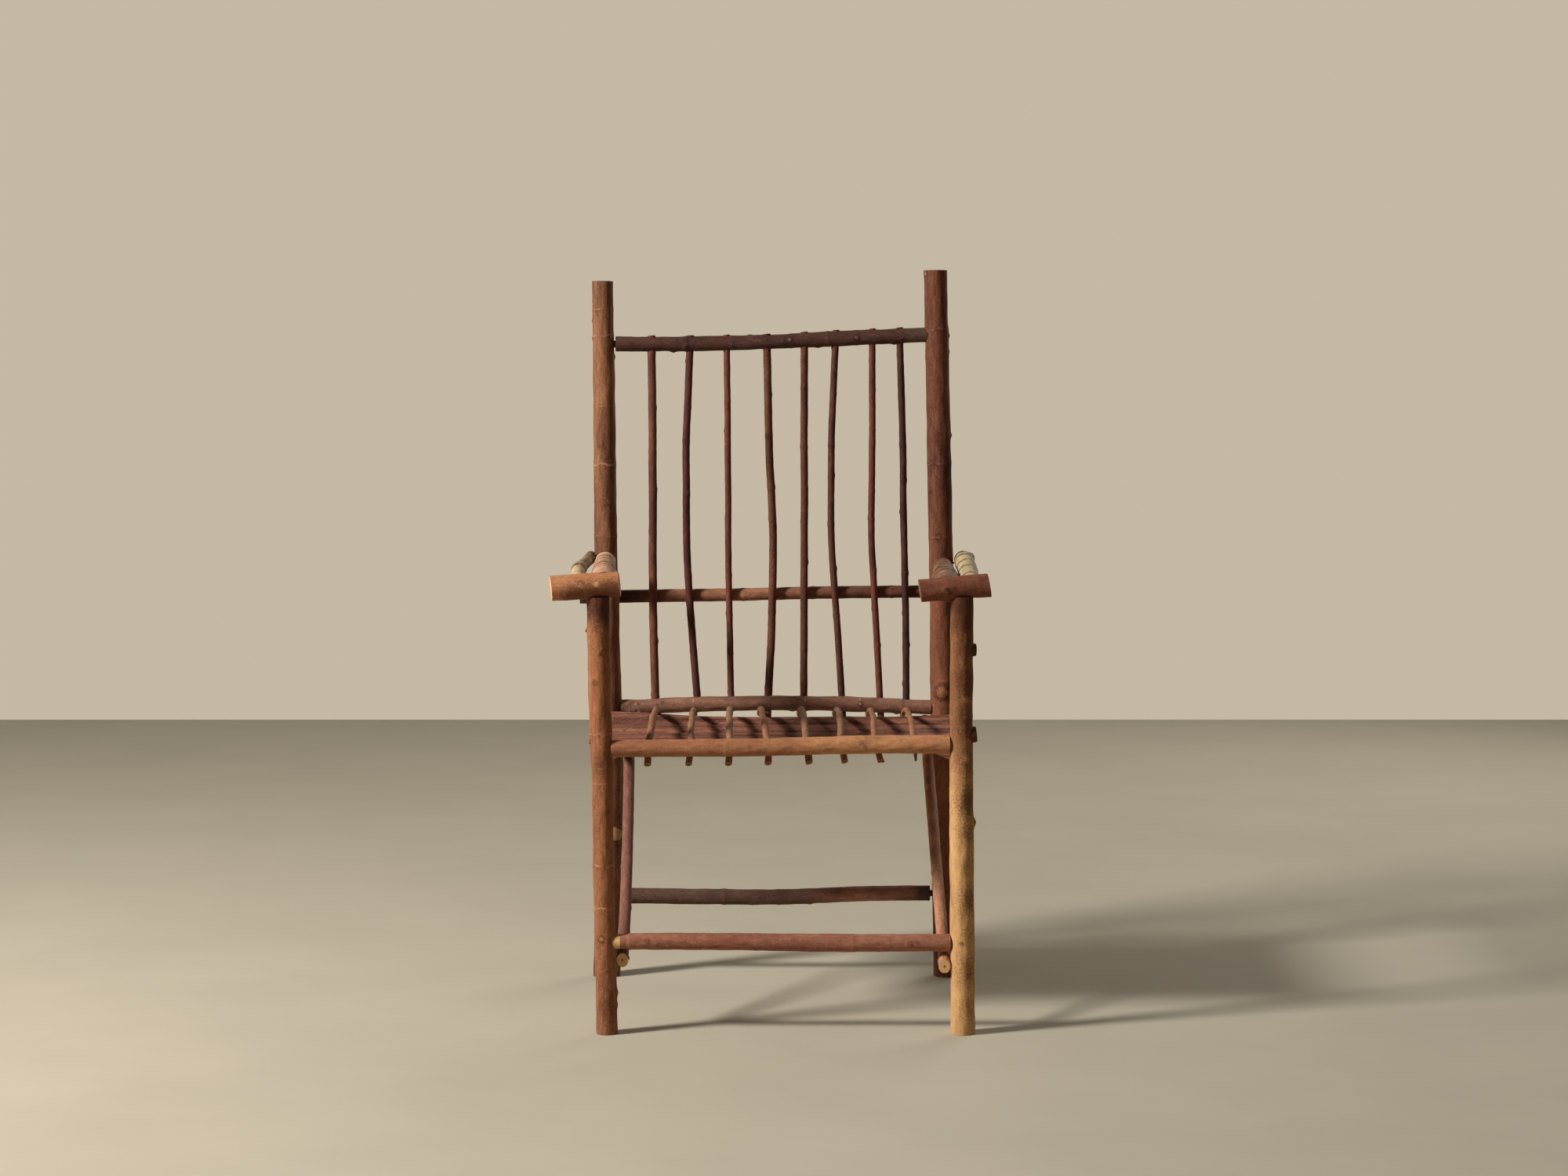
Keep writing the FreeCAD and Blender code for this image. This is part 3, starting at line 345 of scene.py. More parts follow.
def end_shift(grid, line, tangent, s, girth, end_leans, end_planes):
    """Moves the rings near each end along the stick, so that the end lies in its sawing plane.

    The plane stands square to the stick, leaning by end_leans, or has the normal that end_planes gives.
    The shift fades out over three radii.
    """
    shift = np.zeros(grid.shape)
    for end, distance in ((0, s), (-1, s[-1] - s)):
        normal = end_planes[end]
        if normal is None:
            lean = end_leans[end]
            sideways = np.array([math.cos(7 * lean + 1), math.sin(7 * lean + 1), math.sin(5 * lean)])
            normal = tangent[end] + lean * (sideways - (sideways @ tangent[end]) * tangent[end])
        normal = np.asarray(normal, float)
        off_plane = -((grid - line[:, None]) @ normal) / (tangent @ normal)[:, None]
        fade = np.clip(1 - distance / (3 * girth), 0, 1) ** 2
        shift += (fade[:, None] * off_plane)[..., None] * tangent[:, None]
    return shift


# The rings of a sawn end: size as a share of the stick's, and how far out it lies as a share of the girth
RIM_SHARES = ((1.0, 0.0), (0.985, 0.012), (0.95, 0.018), (0.8, 0.02), (0.45, 0.022))


def with_sawn_ends(grid, values, tangent, girth):
    """Adds to both ends rings that shrink towards a pole: a rounded rim, then the sawn face."""
    starts, ends = [], []
    start_values = {name: [] for name in values}
    end_values = {name: [] for name in values}
    for shrink, forward in RIM_SHARES[1:]:
        for end, rows, held in ((0, starts, start_values), (-1, ends, end_values)):
            outward = -tangent[0] if end == 0 else tangent[-1]
            centre = grid[end].mean(axis=0)
            rows.append(centre + (grid[end] - centre) * shrink + outward * forward * girth)
            for name, value in values.items():
                ring = value[end].copy()
                if name == "bare" and shrink < 0.96:
                    ring = np.ones_like(ring)
                if name == "grain":
                    ring = ring * np.array([shrink, shrink, 1])
                if name in ("scar", "node"):
                    ring = ring * 0
                held[name].append(ring)
    whole = np.concatenate([np.stack(starts[::-1]), grid, np.stack(ends)])
    merged = {name: np.concatenate([np.stack(start_values[name][::-1]), value,
                                    np.stack(end_values[name])]) for name, value in values.items()}
    poles = (starts[-1].mean(axis=0), ends[-1].mean(axis=0))
    return whole, merged, poles


def add_stub(surface, root, direction, radius, reach, seed, flare=0.15, around=28, mark=0.0):
    """Adds a pruned side branch: a short stick that widens to its root. mark below 0 darkens its bark."""
    share = np.linspace(0, 1, 12)
    line = np.asarray(root) + share[:, None] * reach * np.asarray(direction, float)
    swell = radius * (1 + flare * np.exp(-5 * share)) * (1 - 0.12 * share**3)
    up = AXES[Z] if abs(direction[Z]) < 0.8 else AXES[X]
    whole = (0.5 * reach / MM, 0, 0, 1000, mark)
    add_stick(surface, line, swell, up, seed, around, relief=0.04, knots=[whole])


# Procedural finishes


class Nodes:
    """Short words for building the node tree of a material or of the world."""

    def __init__(self, owner):
        owner.use_nodes = True
        self.tree = owner.node_tree
        self.tree.nodes.clear()

    def add(self, kind, **settings):
        made = self.tree.nodes.new(kind)
        for name, value in settings.items():
            setattr(made, name, value)
        return made

    def join(self, source, target):
        """Gives the target socket the source socket's value, or a constant one."""
        if isinstance(source, bpy.types.NodeSocket):
            self.tree.links.new(source, target)
        else:
            target.default_value = source

    def finish(self, **values):
        """A Principled shader with these values on its sockets, as the material's surface."""
        shader = self.add("ShaderNodeBsdfPrincipled")
        for name, value in values.items():
            self.join(value, shader.inputs[name.replace("_", " ")])
        self.join(shader.outputs["BSDF"], self.add("ShaderNodeOutputMaterial").inputs["Surface"])

    def attribute(self, name):
        return self.add("ShaderNodeAttribute", attribute_name=name)

    def scaled(self, vector, scale):
        mapping = self.add("ShaderNodeMapping")
        self.join(scale, mapping.inputs["Scale"])
        self.join(vector, mapping.inputs["Vector"])
        return mapping.outputs["Vector"]

    def noise(self, vector, scale, detail=4.0, rough=0.55, warp=0.0):
        made = self.add("ShaderNodeTexNoise")
        for name, value in (("Scale", 1.0), ("Detail", detail), ("Roughness", rough), ("Distortion", warp),
                            ("Vector", self.scaled(vector, scale))):
            self.join(value, made.inputs[name])
        return made.outputs["Fac"]

    def cells(self, vector, scale, feature="F1", output="Distance"):
        made = self.add("ShaderNodeTexVoronoi", feature=feature)
        self.join(1.0, made.inputs["Scale"])
        self.join(self.scaled(vector, scale), made.inputs["Vector"])
        return made.outputs[output]

    def ramp(self, value, low, high, low_to=0.0, high_to=1.0):
        made = self.add("ShaderNodeMapRange")
        made.interpolation_type = "SMOOTHSTEP"
        for name, number in (("From Min", low), ("From Max", high), ("To Min", low_to), ("To Max", high_to),
                             ("Value", value)):
            self.join(number, made.inputs[name])
        return made.outputs["Result"]

    def math(self, kind, first, second):
        made = self.add("ShaderNodeMath", operation=kind)
        for socket, value in zip(made.inputs, (first, second)):
            self.join(value, socket)
        return made.outputs["Value"]

    def watched(self):
        """1 where the camera looks, or a reflection, and 0 for the light that falls on the chair."""
        ray = self.add("ShaderNodeLightPath").outputs
        return self.math("MAXIMUM", ray["Is Camera Ray"],
                         self.math("MAXIMUM", ray["Is Glossy Ray"], ray["Is Transmission Ray"]))

    def mix(self, amount, first, second, kind="MIX"):
        made = self.add("ShaderNodeMix", data_type="RGBA", blend_type=kind)
        for name, value in (("Factor", amount), (6, first), (7, second)):
            self.join(value, made.inputs[name])
        return made.outputs[2]


Wood = namedtuple("Wood", "pale deep pith")
FRESH_CUT = Wood(seen(228, 190, 134), seen(184, 128, 78), seen(124, 74, 42))
OLD_CUT = Wood(seen(150, 108, 74), seen(104, 68, 46), seen(66, 42, 32))
DARK_CUT = Wood(seen(84, 58, 46), seen(56, 38, 32), seen(40, 28, 26))


def darker(n, colour, times):
    return n.mix(1.0, colour, (times, times * 0.9, times * 0.84, 1.0), "MULTIPLY")


def bark(name, base, light, dark, other=None, ring=None, scar=None, mottle=0.7, blotch=0.75, fibres=0.35,
         flecks=0.75, pores=0.55, cracks=0.12, rough=0.7, cut=OLD_CUT, long=1.0):
    """Bark whose colour, cracks and flecks follow the stick, with sawn wood where bare is 1.

    The colours are given as they are seen. other, ring and scar fall back on base and light.
    mottle is soft pale and close dark noise, blotch is broad dark noise, all longer than wide. Fibres are
    fine noise along the grain, flecks are dark specks about a millimetre wide, and pores are small pale
    cells that lie across the stick. Cracks are the edges of long cells. tone leads from base to the other
    colour. On the mid rail and the right front leg the darker end of that run is partly painted shade, and
    on the right brace and the rear stretcher the lighter other colour is painted light. node paints pale
    and dark rings, and dark bands of painted shadow. scar paints knots, and dark patches of painted shade.
    bare shows wood with growth rings. long stretches the noises along the stick.
    """
    material = bpy.data.materials.new(f"bark of {name}")
    n = Nodes(material)
    other, ring, scar = other or base, ring or light, scar or light
    base, light, dark, other, ring, scar = (
        seen(*colour) for colour in (base, light, dark, other, ring, scar))
    grain = n.attribute("grain").outputs["Vector"]

    soft = n.noise(grain, (75, 75, 34 / long), 5.0, 0.62, 0.5)
    broad = n.noise(grain, (30, 30, 11 / long), 4.0, 0.6, 0.6)
    close = n.noise(grain, (190, 190, 95 / long), 2.0, 0.5, 0.2)
    fine = n.noise(grain, (520, 520, 120 / long), 5.0, 0.65)
    speck = n.noise(grain, (760, 760, 480 / long), 2.0, 0.6)
    pore_cells = n.cells(grain, (230, 230, 400))
    pore_pick = n.cells(grain, (230, 230, 400), output="Color")
    crack_cells = n.cells(grain, (170, 170, 30), feature="DISTANCE_TO_EDGE")

    body = n.mix(n.attribute("tone").outputs["Fac"], base, other)
    body = n.mix(n.ramp(soft, 0.42, 0.7, 0, 0.6 * mottle), body, light)
    body = n.mix(n.ramp(broad, 0.54, 0.32, 0, 0.6 * blotch), body, dark)
    for noise, low, high, most, times in ((close, 0.66, 0.3, 0.8 * mottle, 0.66),
                                          (fine, 0.6, 0.3, fibres, 0.45), (speck, 0.54, 0.7, flecks, 0.42)):
        body = n.mix(n.ramp(noise, low, high, 0, most), body, darker(n, body, times))
    body = n.mix(n.ramp(speck, 0.44, 0.28, 0, 0.5 * flecks), body, light)
    pore = n.math("MULTIPLY", n.ramp(pore_cells, 0.24, 0.1), n.ramp(pore_pick, 0.6, 0.66))
    body = n.mix(n.math("MULTIPLY", pore, pores), body, light)
    crack = n.math("MULTIPLY", n.ramp(crack_cells, 0.07, 0.0), n.ramp(soft, 0.42, 0.6))
    body = n.mix(n.math("MULTIPLY", crack, cracks), body, darker(n, body, 0.2))

    torn = n.ramp(n.noise(grain, (340, 340, 340), 3.0), 0.35, 0.6, 0.35, 1.0)
    node = n.attribute("node").outputs["Fac"]
    body = n.mix(n.math("MULTIPLY", n.ramp(node, 0.2, 0.8), torn), body, ring)
    # Dark node marks paint dark rings, and the bands of painted shadow under the cross-pieces
    body = n.mix(n.math("MULTIPLY", n.ramp(node, -0.2, -0.75), torn), body, darker(n, dark, 0.6))
    knot_and_shade = n.math("ADD", n.attribute("scar").outputs["Fac"],
                  n.math("MULTIPLY", n.math("SUBTRACT", torn, 0.7), 0.25))
    rim = n.math("MULTIPLY", n.ramp(knot_and_shade, 0.25, 0.42), n.ramp(knot_and_shade, 0.72, 0.5))
    body = n.mix(n.math("MULTIPLY", rim, 0.6), body, darker(n, dark, 0.8))
    body = n.mix(n.ramp(knot_and_shade, 0.5, 0.75, 0, 0.65), body, scar)
    # Dark scar marks paint dark knots, and patches of painted shade on the sticks' shaded sides
    body = n.mix(n.ramp(knot_and_shade, -0.3, -0.8, 0, 0.85), body, darker(n, dark, 0.6))

    radial = n.add("ShaderNodeVectorMath", operation="LENGTH")
    n.join(n.scaled(grain, (1, 1, 0)), radial.inputs[0])
    wobble = n.noise(grain, (180, 180, 30), 3.0)
    growth = n.math("SINE", n.math("ADD", n.math("MULTIPLY", radial.outputs["Value"], 3200.0),
                                   n.math("MULTIPLY", wobble, 5.0)), 0.0)
    timber = n.mix(n.ramp(growth, -1, 1, 0.1, 0.55), cut.pale, cut.deep)
    timber = n.mix(n.ramp(fine, 0.6, 0.3, 0, 0.5), timber, cut.deep)
    timber = n.mix(n.ramp(radial.outputs["Value"], 0.0022, 0.0008), timber, cut.pith)
    bare = n.ramp(n.attribute("bare").outputs["Fac"], 0.4, 0.6)
    colour = n.mix(bare, body, timber)

    bump = n.add("ShaderNodeBump")
    n.join(0.8, bump.inputs["Strength"])
    n.join(MM, bump.inputs["Distance"])
    relief = n.math("ADD", n.math("MULTIPLY", fine, 0.4), n.math("MULTIPLY", close, 0.6))
    relief = n.math("ADD", relief, n.math("MULTIPLY", pore, 0.3))
    relief = n.math("SUBTRACT", relief, n.math("MULTIPLY", crack, 0.5 * cracks + 0.05))
    relief = n.math("SUBTRACT", relief, n.math("MULTIPLY", rim, 0.4))
    n.join(relief, bump.inputs["Height"])
    n.finish(Base_Color=colour, Roughness=n.ramp(fine, 0.2, 0.8, rough - 0.1, rough + 0.14),
             Normal=bump.outputs["Normal"], Specular_IOR_Level=0.16)
    return material


def iron(name):
    """Dull iron with cloudy patches of rust."""
    material = bpy.data.materials.new(name)
    n = Nodes(material)
    place = n.add("ShaderNodeTexCoord").outputs["Object"]
    rust = n.noise(place, (700, 700, 700), 4.0)
    n.finish(Base_Color=n.mix(n.ramp(rust, 0.45, 0.65), seen(92, 88, 84), seen(110, 62, 38)),
             Roughness=n.ramp(rust, 0.3, 0.7, 0.45, 0.8), Metallic=0.8)
    return material


FLOOR_GLOW = 0.03


def floor_finish(colour):
    """A matt floor: one colour with a faint cloudy mottle.

    The camera and reflections see a glow added to it. The light that falls on the chair doesn't change.
    """
    material = bpy.data.materials.new("floor")
    n = Nodes(material)
    place = n.add("ShaderNodeTexCoord").outputs["Object"]
    cloud = n.noise(place, (3, 3, 3), 6.0, 0.6)
    mottle = tuple(0.94 * part for part in colour[:3]) + (1.0,)
    paint = n.mix(n.ramp(cloud, 0.3, 0.7), tuple(colour), mottle)
    n.finish(Base_Color=paint, Roughness=0.8, Specular_IOR_Level=0.2, Emission_Color=paint,
             Emission_Strength=n.math("MULTIPLY", n.watched(), FLOOR_GLOW))
    return material


# Sizes and colours that a user would change


class ChairSettings(bpy.types.PropertyGroup):
    bark_relief: FloatProperty(
        name="Bark relief", description="Slow unevenness of the sticks, as a share of their radius",
        default=0.016, min=0, max=0.1, subtype="FACTOR")
    station_step: FloatProperty(
        name="Ring spacing", description="Distance between the rings of points along a stick",
        default=0.0022, min=0.001, max=0.01, unit="LENGTH")
    bud_height: FloatProperty(
        name="Bud height", description="Height of the buds on the spindles",
        default=0.0011, min=0, max=0.005, unit="LENGTH")
    twig_thickness: FloatProperty(
        name="Twig thickness", description="Thickness of the bent seat twigs",
        default=0.0098, min=0.005, max=0.02, unit="LENGTH")
    twig_gap: FloatProperty(
        name="Twig gap", description="Air between a seat twig and the rail that it is bent round",
        default=0.0003, min=0, max=0.002, unit="LENGTH")
    slab_points: IntProperty(
        name="Slab detail", description="Points round the section of a seat slab", default=88, min=32,
        max=200)
    floor_colour: FloatVectorProperty(
        name="Floor colour", description="Colour of the pale floor", subtype="COLOR", size=4,
        default=seen(184, 173, 151), min=0, max=1)
    wall_colour: FloatVectorProperty(
        name="Wall colour", description="Colour of the pale backdrop", subtype="COLOR", size=4,
        default=seen(197, 185, 165), min=0, max=1)


def settings():
    return bpy.context.scene.twig_chair


def stations(length):
    return max(24, int(length / settings().station_step))


# Uprights

TENON_SHARE, TOP_LEAN = 0.6, 0.03
FOOT_LIFT, SHOULDER_DEPTH = 0.5 * MM, 3 * MM
# How near to a joint's hollow or to a stick's end its node is still read
CLEAR_OF_JOINT = 8 * MM
STRAIGHT = ((0, 0), (1, 0))


def upright(name, material, seed, knots=(), rings=(), stubs=(), tone=None, around=72,
            under=None, swing=STRAIGHT):
    """A standing stick. Where under names a piece that it carries, it ends inside that piece.

    swing gives heights and how far its line bends to the right there, in millimetres.
    """
    _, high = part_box(name)
    top = known = high[Z]
    if under:
        cap_low, cap_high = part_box(under)
        top, known = (cap_low[Z] + cap_high[Z]) / 2, cap_low[Z] - CLEAR_OF_JOINT
    heights = np.linspace(FOOT_LIFT, top, stations(top))
    line, radius = read_inside(name, Z, heights, 0, known, 0.07, min)
    line = smoothed(line, 12)
    line[:, Z] = heights
    line[:, X] += smoothed(interpolated(heights, swing)[:, None], 8)[:, 0] * MM
    radius = smoothed(radius[:, None], 9)[:, 0]
    if under:
        cap, cap_radius = read_inside(under, X, np.array([line[-1, X]] * 2), cap_low[X] + CLEAR_OF_JOINT,
                                      cap_high[X] - CLEAR_OF_JOINT, 0.05)
        shoulder = cap[0, Z] - cap_radius[0] + SHOULDER_DEPTH
        radius[heights > shoulder] *= TENON_SHARE
        line, radius = squared_shoulders(line, radius)
        heights = line[:, Z]
    surface = Surface()
    add_stick(surface, line, radius, AXES[X], seed, around, settings().bark_relief, knots, rings,
              tone=interpolated(heights, tone), end_leans=(0, TOP_LEAN), end_planes=(-AXES[Z], None))
    for place, side, girth, reach, rise, mark in stubs:
        centre = resampled(line, heights, place * MM)
        inside = 0.5 * np.interp(place * MM, heights, radius)
        turn = math.radians(side)
        outward = np.array([math.cos(turn), math.sin(turn), rise])
        add_stub(surface, centre + outward * inside, unit(outward), girth * MM, inside + reach * MM,
                 seed + int(place), mark=mark)
    surface.make(name, "bark", material)


class TWIGCHAIR_OT_rear_posts(bpy.types.Operator):
    """Adds the two rear posts with their bark, knots and sawn tops."""

    bl_idname = "twig_chair.rear_posts"
    bl_label = "Rear posts"

    def execute(self, context):
        brown = bark("the left rear post", (148, 98, 66), (180, 130, 88), (88, 52, 38), other=(112, 74, 54),
            ring=(184, 136, 100), scar=(190, 146, 102), pores=0.5, fibres=0.5, blotch=0.95, long=2.5)
        upright("rear_post_left", brown, 11,
            knots=[(229, -58, 2.2, 8, 1.3), (236, -70, 1.2, 5, 1.2), (750, -80, 1.0, 5, 0.5),
                (731, -100, 0.6, 8, -0.45), (1060, -60, 0, 50, -0.45), (900, -40, 0, 60, -0.4),
                (842, -115, 0.8, 5, 0.5), (930, -60, 1.2, 4, -0.4), (1040, 175, 1.4, 3, 0.2),
                (1012, 170, 1.6, 3, 0.2), (983, 5, 2.0, 4, -0.3), (520, -100, 1.2, 7, 0.5)],
            rings=[(1015, 0.6, 1.9, 0.84), (814, 0.5, 2, 0.84), (905, 0.3, 1.7, 0.6),
                (1058, 0.3, 1.5, 0.72), (731, 0.3, 2.7, -0.48), (600, 0.4, 2, 0.6), (480, 0.4, 2, 0.48),
                (700, 0.5, 1.7, 0.6)],
            tone=[(0, 0.9), (0.35, 0.8), (0.55, 0.4), (0.9, 0.1), (1.05, 0.3), (1.1, 0.8)],
            swing=((0, 0), (0.12, 2), (0.23, 4.8), (0.31, 4.8), (0.42, 2.5), (0.5, 0.3), (0.65, 1.0),
                (0.9, 1.6), (1.1, 1.5)))
        red = bark("the right rear post", (136, 82, 55), (168, 110, 76), (70, 36, 28), other=(74, 38, 31),
            ring=(172, 118, 84), scar=(160, 104, 70), fibres=0.5, blotch=0.95, long=2.5)
        upright("rear_post_right", red, 23,
            knots=[(455, -95, 3.4, 11, 0.85), (620, -110, 1.0, 6, -0.4), (699, -100, 0.8, 6, 0.6),
                (1016, 0, 1.7, 3, -0.5), (991, 0, 1.5, 3, -0.5), (859, 3, 2.2, 4, -0.3),
                (816, -120, 0.8, 5, 0.5), (1026, -95, 0.6, 4, 0.5), (930, -60, 0.8, 5, -0.4),
                (1114, -150, 0.3, 5, 0.8)],
            rings=[(475, 0.6, 2.4, 0.72), (436, 0.6, 2.4, 0.6), (610, 0.3, 1.7, 0.6), (1026, 0.5, 1.9, 0.6),
                (816, 0.5, 1.9, 0.6), (699, 0.4, 1.9, 0.72), (985, 0.4, 1.9, 0.48)],
            stubs=[(455, -92, 8, 2, 0, 0)],
            tone=[(0, 0.2), (0.3, 0.2), (0.6, 0.0), (0.74, 0.6), (0.8, 0.9), (0.9, 0.5), (1.0, 0.1),
                (1.12, 0.3)],
            swing=((0, 0), (0.5, -1.0), (0.7, -1.2), (0.9, -2.0), (1.04, -3.0), (1.12, -4.2)))
        return {"FINISHED"}


class TWIGCHAIR_OT_front_legs(bpy.types.Operator):
    """Adds the two front legs with their pruned branch stubs."""

    bl_idname = "twig_chair.front_legs"
    bl_label = "Front legs"

    def execute(self, context):
        orange = bark("the left front leg", (168, 108, 70), (188, 134, 92), (90, 51, 34),
            other=(150, 97, 66), ring=(200, 150, 108), scar=(178, 136, 86), fibres=0.5, long=2.5)
        upright("front_leg_left", orange, 37,
            knots=[(142, -105, 0.9, 5, 0.75), (564, -78, 0.8, 3, 0.5), (568, -66, 0.8, 3, 0.6),
                (560, -84, 0.6, 2.5, 0.45), (569, -115, 0.5, 2.5, 0.5), (520, -110, 0.9, 5, 0.5),
                (255, -110, 0.8, 5, -0.4), (330, -60, 0.6, 4, 0.5), (400, -120, 1.0, 6, 0.4),
                (470, -95, 0.7, 4, -0.4), (60, 2, 1.8, 6, -0.3), (42, -5, 1.4, 5, -0.3),
                # The marks with no height paint shade: under the cross-piece and down the front right side.
                (620, -50, 0, 34, -0.75), (590, -35, 0, 30, -0.5), (470, -40, 0, 40, -0.4),
                (390, -40, 0, 50, -0.4), (40, -40, 0, 44, -0.5)],
            # The first ring paints the cross-piece's shadow as a dark band round the top of the leg.
            rings=[(634, 0, 26, -1.7, 0.3), (188, 0.3, 1.5, 0.9), (95, 0.3, 1.7, 0.6),
                (250, 0.4, 1.9, 0.75), (371, 0.3, 1.7, 0.6), (444, 0.3, 1.5, 0.9, 1.2),
                (395, 0.3, 1.5, 0.6)],
            stubs=[(591, 180, 4.5, 2, 0.35, 0), (433, 180, 7, 1, 0.1, 0)],
            tone=[(0, 0.9), (0.2, 0.5), (0.4, 0.1), (0.65, 0.0)],
            around=64, under="arm_crosspiece_left",
            swing=((0, 0), (0.25, 0.5), (0.33, 2.0), (0.42, 2.0), (0.5, 0.8), (0.6, 0.8)))
        tan = bark("the right front leg", (144, 90, 56), (198, 148, 100), (92, 53, 33),
            other=(222, 172, 114), ring=(214, 162, 108), scar=(186, 128, 82), flecks=0.5, pores=0.3,
            fibres=0.35, mottle=0.45, blotch=0.6, cracks=0.05, long=2)
        upright("front_leg_right", tan, 41,
            knots=[(137, -92, 0.5, 8, 0.42), (154, -100, 0.4, 4, 0.4), (262, -70, 0.6, 6, -0.3),
                (340, -95, 0.6, 6, -0.35), (362, -75, 0.8, 5, 0.5), (608, -110, 0.6, 6, -0.45),
                (495, -70, 0.7, 6, 0.9), (408, -65, 0.8, 6, 0.9), (235, -110, 0.5, 5, -0.25),
                # The dark bump at 313 mm and the marks with no height from 618 mm down paint shade on the
                # front right side.
                (12, -95, 0.5, 10, -0.25), (313, 0, 4.0, 7, -0.9), (618, -45, 0, 40, -0.85),
                (575, -30, 0, 36, -0.7), (520, -25, 0, 40, -0.7), (465, -30, 0, 34, -0.7),
                (400, -30, 0, 36, -0.6), (345, -30, 0, 34, -0.75), (300, -35, 0, 34, -0.6),
                (250, -35, 0, 30, -0.5), (200, -30, 0, 34, -0.65), (150, -30, 0, 30, -0.5),
                (95, -35, 0, 34, -0.6), (40, -35, 0, 34, -0.5)],
            # The first ring paints the cross-piece's shadow as a dark band round the top of the leg.
            rings=[(636, 0, 20, -1.5, 0.3), (384, 0.3, 1.7, 0.6), (328, 0.3, 1.9, 0.6, 1.3),
                (470, 0.4, 2, 0.6), (120, 0.3, 1.7, -0.38), (196, 0.2, 1.4, -0.38, 1.5)],
            # Both stubs are painted dark as shade.
            stubs=[(567, 5, 9.5, 4.2, 0, -0.9), (441, 0, 12.5, 5.5, 0.1, -0.95)],
            # The darker base at the top, where tone falls, is partly the leg's own colour and partly painted
            # shadow of the cross-piece.
            tone=[(0, 0.9), (0.1, 0.95), (0.2, 1.0), (0.34, 1.0), (0.41, 0.3), (0.5, 0.1), (0.65, 0.0)],
            around=64, under="arm_crosspiece_right")
        return {"FINISHED"}


# Rails, stretchers and other sticks from left to right


def crossing(name, material, seed, knots=(), rings=(), tone=None, around=48, relief=None,
             end_leans=(0.0, 0.0), end_planes=(None, None), calm=0.0, trim=0.0, shaved=(0.0, 0.0),
             lift=0.0, fatten=1.0, necks=(), sawn=(0.0, 0.0)):
    """A stick from left to right, with the tenons and shoulders that its CAD node has.

    trim is the length at each end that isn't read, because a slanting end is met by the planes too soon.
    shaved tells how pale the whittled wood of the left and the right tenon shows. lift raises the stick
    and fatten thickens it. Each neck is a side, -1 or 1, a place, and a radius from there to the end, in
    millimetres. sawn is the length sawn off the left and the right end.
    """
    low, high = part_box(name)
    places = np.linspace(low[X] + sawn[0], high[X] - sawn[1], stations(high[X] - low[X]))
    line, radius = read_inside(name, X, places, low[X] + trim, high[X] - trim, calm)
    line = smoothed(line, 10)
    line[:, X] = places
    line[:, Z] += lift
    radius = radius * fatten
    share = np.linspace(0, 1, len(places))
    bare = np.clip((0.93 - radius / np.median(radius)) / 0.08, 0, 1) * np.where(share < 0.5, *shaved)
    for side, place, girth in necks:
        radius = np.where(side * (places - place * MM) > 0, girth * MM, radius)
    line, radius = squared_shoulders(line, radius, [pale == 0 for pale in shaved])
    surface = Surface()
    start = low[X] / MM
    add_stick(surface, line, radius, AXES[Z], seed, around,
              settings().bark_relief if relief is None else relief,
              [(place - start, *rest) for place, *rest in knots],
              [(place - start, *rest) for place, *rest in rings],
              bare=bare, tone=interpolated(line[:, X], tone), end_leans=end_leans, end_planes=end_planes)
    surface.make(name, "bark", material)


# How much higher than in the frame the two rails stand
MID_RAIL_LIFT, BACK_RAIL_LIFT = 2 * MM, 2.3 * MM


def warts(seed, low, high, count):
    """Small rough knots scattered over a stretch of a stick."""
    draw = np.random.default_rng(seed)
    return [(low + (high - low) * draw.random(), 30 + 120 * draw.random(), 0.7 + 1.3 * draw.random(),
             1.5 + 1.5 * draw.random(), draw.choice((0.45, -0.6))) for _ in range(count)]


